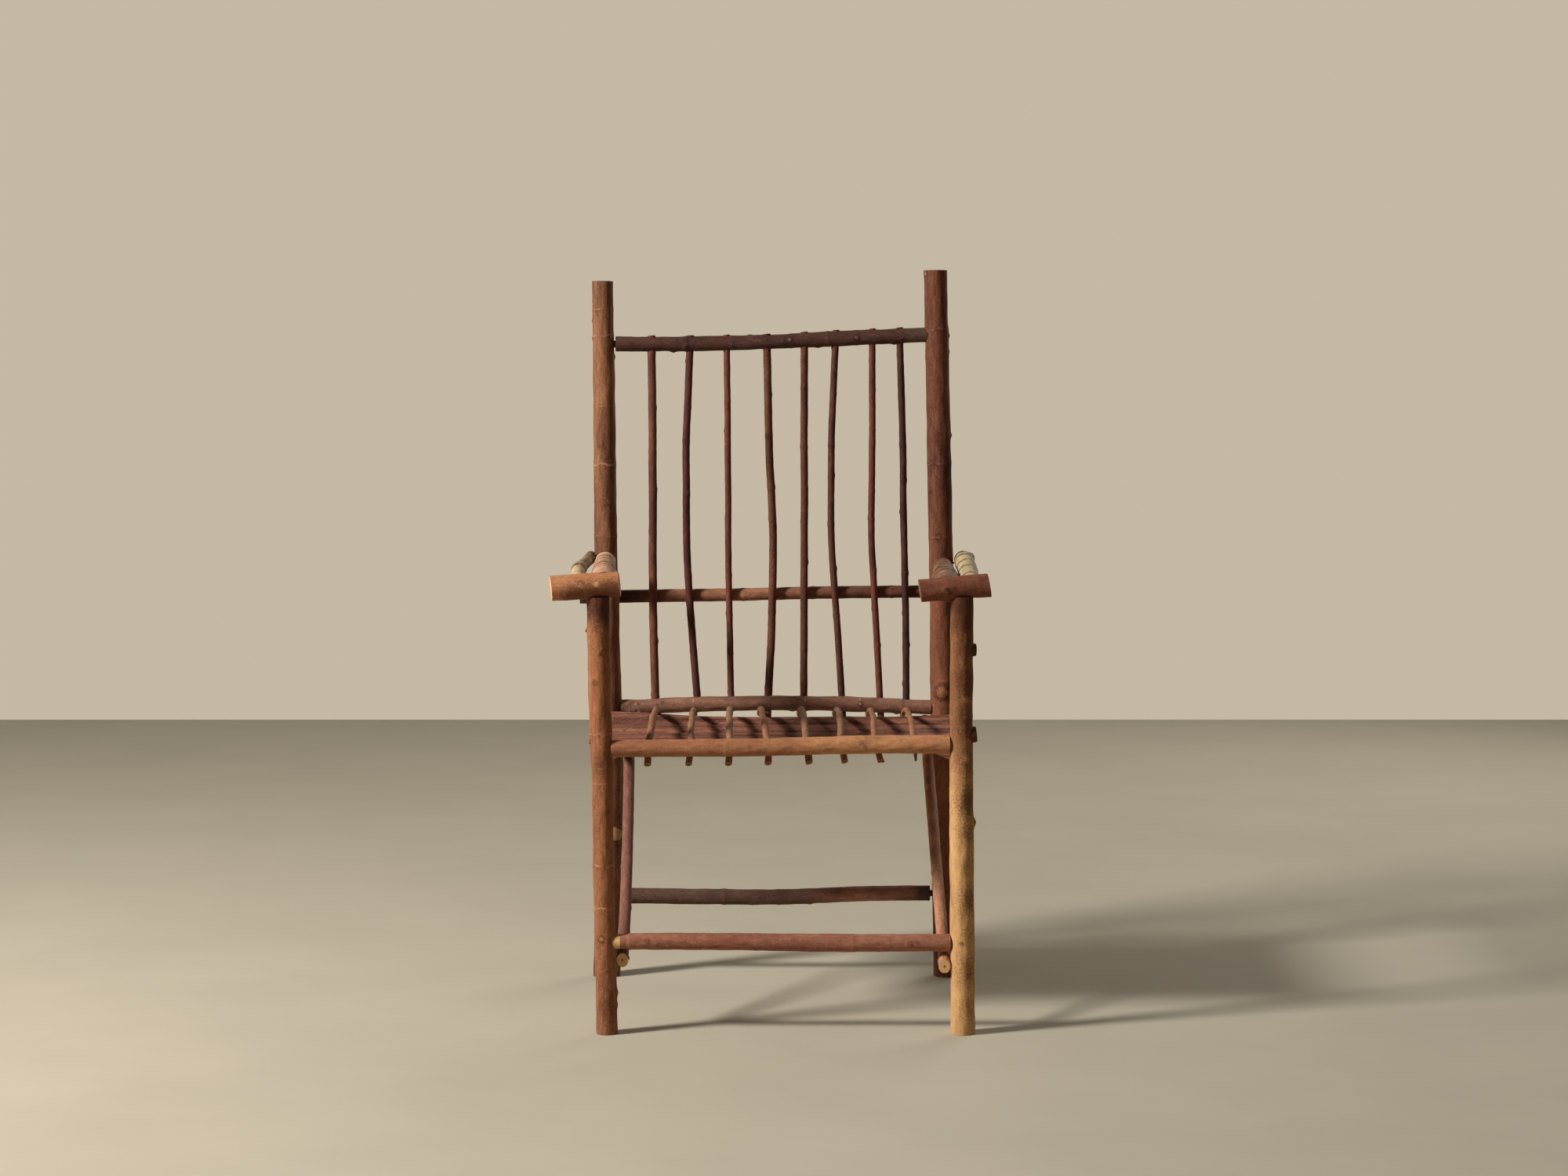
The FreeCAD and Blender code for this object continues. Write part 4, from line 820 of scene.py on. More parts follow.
class TWIGCHAIR_OT_back_rails(bpy.types.Operator):
    """Adds the crest rail, the mid rail and the back seat rail."""

    bl_idname = "twig_chair.back_rails"
    bl_label = "Rails of the back"

    def execute(self, context):
        crest = bark("the crest rail", (80, 51, 41), (106, 74, 60), (48, 30, 26), other=(104, 80, 66),
            ring=(128, 92, 74), scar=(128, 94, 76), cracks=0.25, cut=DARK_CUT)
        crossing("crest_rail", crest, 51,
            knots=[(-135, 110, 1.8, 4, -0.6), (-138, 60, 1.2, 4, 0.5), (22, 85, 1.2, 6, -0.6),
                (29, 80, 1.2, 4, 0.9), (-155, 178, 2.2, 4, -0.3), (73, 176, 1.4, 4, -0.3),
                (193, 172, 2.0, 5, -0.4), (-34, 2, 1.5, 4, -0.3), (-221, 95, 0.6, 3, 0.5),
                (134, 90, 1.0, 5, 0.7), (-58, 120, 0.6, 3, 0.6)],
            rings=[(-221, 0.3, 0.8, 0.5), (-135, 0.9, 1.3, 0.6), (-62, 0.4, 1.0, 0.4, 1.2),
                (32, 0.5, 1.2, 0.5), (134, 0.4, 1.1, 0.4), (204, 0.6, 1.1, 0.6), (88, 0.5, 1.0, 0.5)],
            tone=[(-0.25, 0), (0.2, 0), (0.222, 0.8), (0.25, 0.9)],
            relief=0.03, necks=((-1, -241.5, 11.2), (-1, -245.5, 5.5)))
        # The mid rail's dark base shows where tone is 0. At the left end it is painted shadow of the left
        # arm.
        mid = bark("the mid rail", (100, 60, 46), (140, 94, 70), (56, 32, 27), other=(176, 120, 90),
            ring=(150, 106, 78), cut=DARK_CUT)
        crossing("mid_rail", mid, 53,
            # The wide dark mark with no height at -250 mm darkens the painted shadow of the left arm
            # further.
            knots=[(-70, 90, 0.9, 4, 0.5), (110, 70, 0.8, 4, -0.4), (-250, 90, 0, 60, -0.7)],
            rings=[(-45, 0.6, 1.1, 0.5), (65, 0.5, 1.1, 0.5), (190, 0.5, 1.1, 0.4)],
            tone=[(-0.255, 0), (-0.205, 0), (-0.195, 0.35), (-0.15, 0.6), (-0.09, 0.85), (-0.05, 1),
                (0.0, 0.95), (0.06, 0.65), (0.1, 0.25), (0.2, 0)],
            around=40, end_leans=(0.1, 0.08), calm=0.02, trim=6 * MM, lift=MID_RAIL_LIFT, fatten=1.06)
        seat = bark("the back seat rail", (146, 103, 82), (172, 128, 102), (88, 58, 47),
            ring=(204, 168, 138), scar=(186, 146, 116), cracks=0.2, cut=DARK_CUT)
        crossing("back_seat_rail", seat, 57,
            knots=warts(9, -230, -208, 16) + [(85, 120, 0.5, 2.5, 0.8), (140, 80, 1.0, 4, 0.7),
                (205, 30, 0.8, 3, 0.8), (198, 170, 2.0, 4, 0.5), (33, 178, 1.4, 4, -0.4),
                (-172, 60, 0.6, 3, 0.6), (-180, 80, 0.6, 3, 0.5), (-20, 100, 0.6, 9, -0.5),
                (-228, 90, 0, 22, -0.55)],
            rings=[(-123, 0.4, 0.8, 0.9), (53, 0.5, 0.8, 1.0), (140, 0.4, 0.9, 0.8, 1.4),
                (205, 0.5, 0.8, 0.7), (-172, 0.2, 0.8, 0.4, 2.0)],
            tone=None, relief=0.03, lift=BACK_RAIL_LIFT)
        return {"FINISHED"}


class TWIGCHAIR_OT_low_rails(bpy.types.Operator):
    """Adds the front seat rail and the two stretchers."""

    bl_idname = "twig_chair.low_rails"
    bl_label = "Front rail and stretchers"

    def execute(self, context):
        orange = bark("the front seat rail", (164, 107, 73), (188, 136, 96), (124, 78, 54),
            other=(206, 146, 98), ring=(204, 158, 112), scar=(150, 96, 62), flecks=0.45, fibres=0.25,
            blotch=0.5, cracks=0.05)
        crossing("front_seat_rail", orange, 61,
            knots=[(132, 70, 0.6, 3, 0.7), (138, 95, 0.6, 3, 0.6), (-20, 95, 0.5, 4, -0.4),
                (20, 100, 0.5, 3, 0.4)],
            rings=[(-66, 0.3, 0.9, 0.8), (79, 0.3, 0.9, 0.8), (135, 0.3, 0.8, 0.5, 1.6),
                (200, 0.2, 0.9, -0.3)],
            tone=[(-0.25, 0.0), (-0.03, 0.0), (0.03, 0.3), (0.1, 0.9), (0.2, 0.9), (0.26, 0.5)])
        pink = bark("the front stretcher", (164, 110, 84), (186, 134, 104), (120, 72, 56),
            other=(146, 88, 70), ring=(198, 152, 120), scar=(140, 90, 62), blotch=0.5, flecks=0.4,
            cracks=0.08, cut=FRESH_CUT)
        crossing("front_stretcher", pink, 67,
            knots=[(-180, 80, 0.8, 4, 0.6), (-168, 100, 0.6, 3, -0.5), (205, 90, 0.8, 5, 0.6),
                (30, 70, 0.6, 4, -0.4), (215, 80, 0.6, 4, 0.5)],
            rings=[(-20, 0.4, 1.0, 0.4), (120, 0.4, 1.0, 0.4), (-150, 0.3, 0.9, 0.4, 1.5)],
            tone=[(-0.25, 0.2), (-0.05, 0.9), (0.1, 0.4), (0.26, 0.1)],
            shaved=(1.0, 0.0), lift=-1.3 * MM, fatten=1.04, necks=((-1, -210, 10.8),))
        # The light other colour, which the tone puts on the right part, is painted light: it stands in for
        # light that falls there.
        grey = bark("the rear stretcher", (88, 64, 53), (118, 90, 74), (52, 37, 33), other=(194, 136, 111),
            ring=(128, 98, 80), cracks=0.25, cut=DARK_CUT)
        crossing("rear_stretcher", grey, 71,
            knots=[(-30, 150, 1.2, 4, -0.4), (110, 20, 1.0, 4, 0.4), (60, 170, 1.2, 4, -0.4)],
            rings=[(-76, 0.7, 1.2, 0.5), (120, 0.5, 1.1, 0.5), (10, 0.4, 1.1, 0.3)],
            tone=[(-0.25, 0), (0.05, 0.1), (0.14, 0.9), (0.225, 0.6), (0.235, 0)],
            necks=((1, 249.5, 5),))
        return {"FINISHED"}


# How far the top of each spindle leans to the side
SPINDLE_SHIFTS_MM = (1.2, 2.0, 0, 0, 0, 0, -1.2, -2.0)
SPINDLE_WIGGLE, SPINDLE_BUDS, SPINDLE_FIT = 0.7 * MM, 9, 0.985


class TWIGCHAIR_OT_spindles(bpy.types.Operator):
    """Adds the eight spindles of the back, thin dark sticks with buds."""

    bl_idname = "twig_chair.spindles"
    bl_label = "Spindles"

    def execute(self, context):
        colours = (((112, 66, 50), (142, 94, 68), (66, 36, 30)), ((84, 44, 38), (116, 68, 54), (46, 26, 25)),
                   ((112, 62, 46), (140, 88, 64), (66, 36, 30)), ((98, 58, 40), (146, 98, 66), (50, 28, 24)),
                   ((96, 54, 40), (124, 76, 54), (52, 30, 26)), ((90, 52, 40), (134, 92, 70), (44, 26, 24)),
                   ((110, 58, 44), (136, 82, 60), (60, 32, 28)), ((66, 38, 31), (110, 74, 58), (34, 22, 20)))
        for number, (base, light, dark) in enumerate(colours, start=1):
            material = bark(f"spindle {number}", base, light, dark, ring=light,
                cut=DARK_CUT, pores=0.7, blotch=0.9)
            self.add(f"spindle_{number}", material, 100 + 7 * number, SPINDLE_SHIFTS_MM[number - 1])
        return {"FINISHED"}

    def add(self, name, material, seed, shift):
        """A thin stick. shift moves its top to the side, in millimetres."""
        low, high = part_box(name)
        length = high[Z] - low[Z]
        count = stations(length)
        line, radius = read_stick(name, Z, low[Z], high[Z], count)
        line = smoothed(line, 9)
        line[:, Z] = np.linspace(low[Z], high[Z] - 1.5 * MM, count)
        draw = np.random.default_rng(seed)
        share = np.linspace(0, 1, count)
        line[:, X] += shift * MM * share
        for column in (X, Y):
            wiggle = sum(np.sin(FULL_TURN * turns * share + phase) / turns for turns, phase in
                         zip((3, 5, 8), draw.random(3) * FULL_TURN))
            line[:, column] += SPINDLE_WIGGLE * wiggle * np.sin(math.pi * share)
        count = SPINDLE_BUDS
        buds = np.arange(count)
        places = (buds + 0.5 + 0.5 * (draw.random(count) - 0.5)) / count * length / MM
        sides = np.where(buds % 2, 5, 185) + draw.normal(0, 35, count)
        sizes = settings().bud_height / MM * (0.35 + 0.9 * draw.random(count))
        knots = [(place, side, size, 2.2 + size, -0.3)
                 for place, side, size in zip(places, sides, sizes)]
        rings = [(place - 3, 0.25, 0.9, 0.4) for place in places]
        surface = Surface()
        add_stick(surface, line, radius * SPINDLE_FIT, AXES[X], seed, 32, 0.018, knots, rings,
                  end_leans=(0.1, 0.15))
        surface.make(name, "bark", material)


# The seat


def cubic(points, share):
    """A cubic Bezier curve: each point weighted by its share of a falling and rising power."""
    rest = 1 - share
    weights = np.stack([rest**3, 3 * rest**2 * share, 3 * rest * share**2, share**3], axis=1)
    return weights @ np.asarray(points)


# For each slab: how much higher its underside is hewn between the bearings, and its crown stands
SLAB_HOLLOW = (8.5 * MM, 6.5 * MM, 3 * MM, 2 * MM, 4 * MM)
SLAB_CROWN = (0, 0, 0, 1.5 * MM, 5 * MM)
# Length of a slab's bearing, of the slope to its hewn underside, and thickness of its sharp lower edge
SLAB_BEARING, SLAB_SLOPE, SLAB_EDGE = 24 * MM, 20 * MM, 1.2 * MM
# Powers that round the section across and upwards, and the last slab's raised ends
SLAB_ACROSS, SLAB_UPWARDS = 0.8, 0.85
LAST_SLAB_LEFT, LAST_SLAB_RIGHT = (8 * MM, 0.11), (4 * MM, 0.06)


class TWIGCHAIR_OT_seat_slabs(bpy.types.Operator):
    """Adds the five split slabs of the seat."""

    bl_idname = "twig_chair.seat_slabs"
    bl_label = "Seat slabs"

    def execute(self, context):
        mauve = bark("the seat slabs", (158, 102, 78), (186, 132, 103), (90, 54, 43), other=(92, 56, 44),
            ring=(180, 136, 106), scar=(190, 146, 112), pores=0.3, cracks=0.7, fibres=0.5, rough=0.85,
            cut=OLD_CUT, long=2.5)
        for number in range(1, 6):
            self.add(f"seat_slab_{number}", mauve, 200 + 11 * number, SLAB_HOLLOW[number - 1],
                     SLAB_CROWN[number - 1])
        return {"FINISHED"}

    def add(self, name, material, seed, hollow, raised):
        """A half-round section carried from side to side.

        The section is a superellipse: width times the signed power of the cosine, height times the power
        of the sine, and a flat underside. Waves along the slab change its width, and finer waves along
        the grain make ribs. Between its two bearings the underside is hewn higher by hollow, and the crown
        stands higher by raised.
        """
        low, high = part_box(name)
        count = stations(high[X] - low[X])
        around = settings().slab_points
        along = np.linspace(low[X], high[X], count)[:, None]
        turn = np.linspace(0, FULL_TURN, around, endpoint=False)[None, :]
        upper = np.sin(turn) > 0
        middle, half = (low[Y] + high[Y]) / 2, (high[Y] - low[Y]) / 2
        from_end = np.minimum(along - low[X], high[X] - along)
        hollow = hollow * np.clip((from_end - SLAB_BEARING) / SLAB_SLOPE, 0, 1)
        flat = low[Z] + 0.4 * MM + hollow
        ribs = waves(along, turn, seed, 16, 0.5, 0.08, 12)
        edge = waves(along, turn * 0, seed + 1, 7, 0.4, 0.04, 0)
        wide = half * (0.985 + 0.012 * edge)
        across = np.sign(np.cos(turn)) * np.abs(np.cos(turn)) ** SLAB_ACROSS
        rise = np.abs(np.sin(turn)) ** SLAB_UPWARDS
        y = middle + wide * across * (1 + 0.004 * ribs)
        if name == "seat_slab_5":
            for (tall, wide), away in ((LAST_SLAB_LEFT, along - low[X]), (LAST_SLAB_RIGHT, high[X] - along)):
                raised = raised + tall * bell(away / wide)
        crown = high[Z] + raised - 0.8 * MM - flat
        z = np.where(upper, flat + SLAB_EDGE + (crown - SLAB_EDGE) * rise * (0.965 + 0.024 * ribs),
                     flat + SLAB_EDGE * (1 - rise))
        grid = np.stack([np.broadcast_to(along, y.shape), y, z], axis=-1)
        grain = np.stack([y, z, np.broadcast_to(along + seed, y.shape)], axis=-1)
        zeros = np.zeros(y.shape)
        draw = np.random.default_rng(seed)
        scar, node = zeros.copy(), zeros.copy()
        for _ in range(3):
            place = low[X] + draw.random() * (high[X] - low[X])
            side = math.radians(40 + 100 * draw.random())
            distance = np.hypot((along - place) / 0.007, (turn - side) * half / 0.004)
            scar = np.maximum(scar, 0.75 * bell(distance))
            grid[..., Z] += 0.0005 * bell(distance)
        if name == "seat_slab_5":
            for place, width in ((low[X] + 6 * MM, 6 * MM), (high[X] - 28 * MM, 16 * MM)):
                distance = np.hypot((along - place) / width, (turn - math.radians(50)) / 0.9)
                scar = np.maximum(scar, 0.9 * bell(distance))
        bare = np.where(upper, 0.0, 1.0) * np.ones(y.shape)
        tone = np.clip(0.42 + 0.5 * waves(along, turn, seed + 5, 14, 0.9, 0.2, 18), 0, 1)
        values = {"grain": grain, "scar": scar, "node": node, "bare": bare, "tone": tone}
        tall = high[Z] - low[Z]
        centre = np.stack([along[:, 0], np.full(count, middle), np.full(count, low[Z] + tall / 3)], axis=1)
        tangent = np.broadcast_to(AXES[X], centre.shape)
        grid, values, poles = with_sawn_ends(grid, values, tangent, tall / 3)
        surface = Surface()
        surface.add_grid(grid, values, poles)
        surface.make(name, "bark", material)


# For each twig: X of its bend at the front rail, then how far to the side its front end, its middle and its
# back end lie, in millimetres, then its thickness and its spring at the back as shares of the usual ones
TWIG_PLACES_MM = [
    (-178.9, -1, 1, 0, 1.02, 1.35),
    (-115.7, -4.2, -4.2, -6.3, 0.95, 1),
    (-58.4, -3.2, -4.7, -7.4, 1, 1),
    (-2.1, -1.6, -10, -16.8, 1, 0.95),
    (52.7, 3.7, -3.7, -8.4, 1.05, 1),
    (101.6, 6.8, 2.1, -1.6, 0.97, 0.97),
    (150.5, 10.5, 3.7, 2.1, 0.92, 0.95),
    (210.2, 2.1, -1, -3.2, 0.85, 1.2),
]
# Lengths of the Bezier curve's arms at the front and at the back rail, of the straight tail behind, and
# of the stub that hangs in front
FRONT_SPRING, BACK_SPRING, TWIG_TAIL, STUB_LENGTH = 30 * MM, 92 * MM, 12 * MM, 17 * MM
# Degrees round the rails: where a twig leaves its hanging stub, leaves the front rail's circle, meets the
# back rail's circle, and leaves that
STUB_LEAVES, FRONT_LEAVES, BACK_MEETS, BACK_LEAVES = -38, -12, -112, -84


class TWIGCHAIR_OT_seat_twigs(bpy.types.Operator):
    """Adds the eight bent twigs that hold the slabs down."""

    bl_idname = "twig_chair.seat_twigs"
    bl_label = "Seat twigs"

    def execute(self, context):
        olive = bark("the olive twigs", (146, 106, 74), (176, 138, 100), (90, 60, 44), ring=(190, 152, 114))
        tan = bark("the tan twigs", (156, 104, 70), (184, 134, 94), (96, 58, 42), ring=(194, 150, 110))
        front, front_radius = self.rail("front_seat_rail")
        back, back_radius = self.rail("back_seat_rail")
        for number, row in enumerate(TWIG_PLACES_MM, start=1):
            self.add(number, row, (front, front_radius), (back, back_radius),
                     tan if number in (1, 4, 7, 8) else olive)
        return {"FINISHED"}

    def rail(self, name):
        low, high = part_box(name)
        line, radius = read_stick(name, X, low[X], high[X], 120, 0.03)
        line[:, Z] += BACK_RAIL_LIFT if name == "back_seat_rail" else 0
        return line, radius

    def at(self, rail, x):
        line, radius = rail
        return [float(np.interp(x, line[:, X], values)) for values in (line[:, Y], line[:, Z], radius)]

    def add(self, number, row, front, back, material):
        """A twig's line from its stub under the front rail to its tail under the back rail.

        The line starts as a stub that hangs below the front rail and touches a circle round it. It follows
        that circle, runs over the slabs on a Bezier curve that leaves the circle along its tangent, and
        turns under the back rail on another circle.
        """
        x, front_off, middle_off, back_off, thickness, spring = row
        x, front_off, middle_off, back_off = (value * MM for value in (x, front_off, middle_off, back_off))
        radius = settings().twig_thickness * thickness / 2
        y0, z0, rail_radius = self.at(front, x)
        turn0 = rail_radius + settings().twig_gap + radius
        y1, z1, rail_radius = self.at(back, x)
        turn1 = rail_radius + settings().twig_gap + radius
        first = np.radians(np.linspace(STUB_LEAVES, FRONT_LEAVES, 16))
        wrap = np.stack([y0 + 1.03 * turn0 * np.cos(first), z0 + 1.03 * turn0 * np.sin(first)], axis=1)
        down = np.array([math.sin(first[0]), -math.cos(first[0])])
        hanging = wrap[0] + np.linspace(STUB_LENGTH, 0, 10)[:-1, None] * down
        wrap = np.concatenate([hanging, wrap])
        leave, meet = math.radians(FRONT_LEAVES), math.radians(BACK_MEETS)
        start = wrap[-1]
        end = np.array([y1 + turn1 * math.cos(meet), z1 + turn1 * math.sin(meet)])
        arch = cubic([start, start + FRONT_SPRING * np.array([-math.sin(leave), math.cos(leave)]),
                      end + spring * BACK_SPRING * np.array([math.sin(meet), -math.cos(meet)]), end],
                     np.linspace(0, 1, 160)[1:])
        under = np.radians(np.linspace(BACK_MEETS, BACK_LEAVES, 8))[1:]
        tuck = np.stack([y1 + turn1 * np.cos(under), z1 + turn1 * np.sin(under)], axis=1)
        tail = tuck[-1] + np.linspace(0, 1, 6)[1:, None] * np.array([TWIG_TAIL, 0.001])
        side = np.concatenate([
            front_off * (1 - np.linspace(0, 1, len(wrap))),
            self.sway(np.linspace(0, 1, 160)[1:], middle_off, back_off),
            np.full(len(tuck) + len(tail), back_off)])
        flat = np.concatenate([wrap, arch, tuck, tail])
        line = np.column_stack([x + side, flat])
        line = self.even(line)
        seed = 300 + 13 * number
        share = np.linspace(0, 1, len(line))
        draw = np.random.default_rng(seed)
        line[:, X] += 0.0006 * np.sin(FULL_TURN * 3 * share + draw.random() * 6) * np.sin(math.pi * share)
        girth = np.full(len(line), radius) * (1.04 - 0.1 * share)
        if number == 8:
            girth *= np.interp(share, (0, 0.03, 0.08, 1), (0.35, 0.7, 1, 1))
        length = lengths_along(line)[-1]
        places = length / MM * (np.arange(1, 7) + 0.4 * (draw.random(6) - 0.5)) / 7
        knots = [(place, draw.random() * 360, 0.5, 3, 0.3) for place in places]
        rings = [(place, 0.25, 1.0, 0.5) for place in places]
        surface = Surface()
        add_stick(surface, line, girth, AXES[X], seed, 32, 0.016, knots, rings, end_leans=(0.2, 0.1))
        if number == 7:
            fork = line[6]
            add_stub(surface, fork, unit(np.array([0.55, -0.1, -1.0])), 2.6 * MM, 15 * MM, seed + 3, 0.3, 20)
        surface.make(f"seat_twig_{number}", "bark", material)

    def sway(self, share, middle, back):
        return 4 * (1 - share) * share * middle + share * (2 * share - 1) * back

    def even(self, line):
        """The same line with stations at even steps."""
        s = lengths_along(line)
        steps = np.linspace(0, s[-1], stations(s[-1]))
        return resampled(line, s, steps)


class TWIGCHAIR_OT_side_rails(bpy.types.Operator):
    """Adds the side seat rails and the slanting side braces."""

    bl_idname = "twig_chair.side_rails"
    bl_label = "Side rails and braces"

    def execute(self, context):
        brown = bark("the side seat rails", (140, 92, 66), (172, 124, 90), (90, 58, 44),
            ring=(180, 138, 104))
        for number, side in enumerate(("left", "right")):
            lengthwise(f"side_seat_rail_{side}", brown, 401 + number, fatten=0.85,
                rise=((0, 1.8), (1, 1.8)))
        purple = bark("the left brace", (140, 94, 76), (164, 116, 94), (88, 54, 46), other=(112, 72, 60),
            ring=(170, 126, 102), cut=FRESH_CUT)
        # Where the second tone row rises towards the right brace's raised back end, its light other colour
        # is painted light, standing in for light that falls there.
        dusky = bark("the right brace", (190, 134, 98), (206, 154, 116), (120, 78, 60),
            other=(210, 156, 122), ring=(180, 132, 100), cut=FRESH_CUT)
        tones = ([(-0.23, 0.6), (-0.1, 0.1), (0.1, 0.5), (0.23, 1.0)],
                 [(-0.23, 0.0), (-0.12, 0.1), (-0.07, 0.9), (-0.02, 0.6), (0.06, 1.0), (0.23, 1.0)])
        swings = (((-0.23, 0), (-0.15, 3), (0.0, 5), (0.23, 5)), ((0, 0), (1, 0)))
        for number, (side, material) in enumerate((("left", purple), ("right", dusky))):
            low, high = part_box(f"side_brace_{side}")
            front = low[Y] + (BRACE_SAWN if side == "left" else 0)
            lengthwise(f"side_brace_{side}", material, 411 + number, around=40,
                tone=tones[number], end_planes=(-AXES[Y], None), slanting=True, reach=(front, high[Y]),
                inside=(low[Y] + BRACE_TENON, high[Y] - BRACE_TENON), swing=swings[number],
                rings=[(140, 0.4, 1.0, 0.4), (330, 0.4, 1.0, 0.5), (60, 0.3, 0.9, -0.3)],
                knots=[(200, -90, 1.0, 4, -0.4), (110, 90, 1.0, 4, 0.4)])
        return {"FINISHED"}


# The left brace's front end is sawn back, and the nail in it stands further back too
BRACE_SAWN, BRACE_NAIL_BACK, BRACE_TENON = 11 * MM, 16 * MM, 14 * MM


def lengthwise(name, material, seed, around=44, knots=(), rings=(), tone=None, slanting=False,
               reach=None, inside=None, end_planes=(None, None), end_leans=(0.0, 0.0), calm=0.0,
               swing=STRAIGHT, rise=STRAIGHT, fatten=1.0):
    """A stick from front to back. reach gives its visible ends, and inside where its node can be read.

    swing and rise give places and how far its line bends to the right and up there, in millimetres.
    """
    low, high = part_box(name)
    start, end = reach or (low[Y], high[Y])
    places = np.linspace(start, end, stations(math.hypot(end - start, high[Z] - low[Z] if slanting else 0)))
    line, radius = read_inside(name, Y, places, *(inside or (start, end)), calm, min if slanting else max)
    line = smoothed(line, 10)
    line[:, Y] = places
    line[:, X] += interpolated(places, swing) * MM
    line[:, Z] += interpolated(places, rise) * MM
    surface = Surface()
    add_stick(surface, line, radius * fatten, AXES[Z], seed, around, settings().bark_relief, knots, rings,
              tone=interpolated(places, tone), end_planes=end_planes, end_leans=end_leans)
    surface.make(name, "bark", material)


class TWIGCHAIR_OT_arms(bpy.types.Operator):
    """Adds the cross-pieces on the front legs and the two arm sticks of each side."""

    bl_idname = "twig_chair.arms"
    bl_label = "Arms"

    def execute(self, context):
        orange = bark("the left cross-piece", (187, 124, 83), (210, 155, 112), (124, 76, 54),
            other=(140, 88, 68), ring=(206, 160, 118), scar=(212, 164, 112), blotch=0.5, cracks=0.08,
            cut=FRESH_CUT)
        russet = bark("the right cross-piece", (124, 73, 53), (148, 96, 72), (82, 46, 36),
            ring=(150, 98, 72), scar=(88, 48, 36), cracks=0.12, cut=OLD_CUT)
        self.crosspiece("left", orange, 501,
            # The three marks with no height on the lower front paint shade under the cross-piece.
            [(-259, 80, 0.6, 4.5, 1.0), (-283, 85, 0.6, 10, 0.62), (-290, 150, 0, 24, -0.9),
                (-262, 150, 0, 24, -0.9), (-238, 145, 0, 26, -1.0), (-229, 85, 0.4, 12, 0.6)],
            [(-303, 0.3, 1.0, 0.4), (-228, 0.2, 4, 0.6, 1.4)], ((-1, -0.14, -0.09), (1, -0.02, 0.11)),
            (6 * MM, 2.2 * MM))
        self.crosspiece("right", russet, 503,
            [(252, 88, 1.4, 4, -0.8), (256, 110, 0.8, 4, 0.4), (262, 70, 0.6, 4, -0.4)],
            [(254, 0.4, 1.2, -0.3), (301, 0.3, 1.0, 0.3)], ((-1, -0.03, -0.15), (1, 0.02, 0.18)),
            (2.2 * MM, 6.8 * MM))
        rosy = bark("the left inner arm", (200, 154, 118), (224, 188, 152), (112, 56, 38),
            other=(196, 142, 102), ring=(230, 196, 164), scar=(206, 146, 98), cracks=0.4, pores=0.4, long=4)
        brown = bark("the right inner arm", (122, 82, 58), (176, 134, 98), (56, 32, 24),
            other=(108, 68, 48), ring=(190, 150, 112), scar=(180, 136, 98), cracks=0.4, pores=0.4, long=4)
        pale = bark("the outer arms", (202, 178, 132), (220, 200, 158), (96, 64, 44), other=(192, 170, 116),
            ring=(222, 200, 160), scar=(150, 108, 78), cracks=0.15, blotch=0.4, cut=DARK_CUT, long=4)
        self.arm("arm_inner_left", "bark_brown", "left", rosy, 511,
            [(90, 0.3, 20, 0.5, 0.3), (150, 1.4, 9, -2.0, 0.5), (190, 0.5, 8, -1.4, 0.6),
                (232, 0.4, 16, 0.8, 0.4), (290, 0.6, 8, -1.0, 0.5), (330, 0.6, 14, 0.6, 0.5),
                (412, 1.4, 12, 1.6, 0.3)],
            [(230, 20, 1.0, 18, 0.6), (205, -25, 1.0, 14, 0.7), (350, -10, 1.0, 16, 0.5)],
            swing=(4.5, 4.5), fatten=1.06)
        self.arm("arm_inner_right", "bark_brown", "right", brown, 513,
            [(90, 0.6, 10, 0.6, 0.4), (122, 1.2, 8, -1.5, 0.4), (150, 1.0, 8, 1.0, 0.4),
                (180, 1.4, 9, -2.0, 0.4), (212, 1.0, 9, 1.2, 0.4), (240, 1.2, 9, -1.7, 0.4),
                (285, 0.5, 16, 0.7, 0.4), (345, 0.5, 12, -0.5, 0.5)],
            [(135, 30, 1.0, 9, 0.6), (200, -30, 1.4, 10, 0.6), (310, 0, 1.0, 12, -0.4)])
        self.arm("arm_outer_left", "bark_pale", "left", pale, 521,
            [(150, 0.4, 8, -0.6, 0.4), (236, 1.0, 10, -1.7, 0.3), (268, 1.6, 12, 0.8, 0.3),
                (300, 0.6, 11, -2.2, 0.3), (345, 0.4, 8, -0.5, 0.4), (432, 1.2, 14, -2.2, 0.3)],
            # These wide marks with no height paint shade on the arm's right flank.
            [(250, 85, 0, 40, -0.6), (330, 80, 0, 50, -0.65), (400, 80, 0, 50, -0.7)],
            passes=True, swing=(5.0, 4.5), rise=6)
        self.arm("arm_outer_right", "bark_pale", "right", pale, 523,
            [(70, 0.8, 9, -1.6, 0.3), (190, 1.0, 10, -2.2, 0.3), (245, 0.4, 8, 0.5, 0.5),
                (298, 1.0, 10, -2.0, 0.3), (345, 0.4, 8, -0.5, 0.5), (390, 1.0, 10, -2.0, 0.3),
                (438, 0.8, 12, -2.4, 0.3)],
            [(424, 50, 3.6, 8, -0.9), (260, 95, 1.6, 7, -0.6)], passes=True, swing=(0.5, 1.5), rise=3.5)
        return {"FINISHED"}

    def crosspiece(self, side, material, seed, knots, rings, planes, sawn):
        crossing(f"arm_crosspiece_{side}", material, seed,
            knots, rings, around=80, end_planes=planes, calm=0.05, trim=CLEAR_OF_JOINT, sawn=sawn)

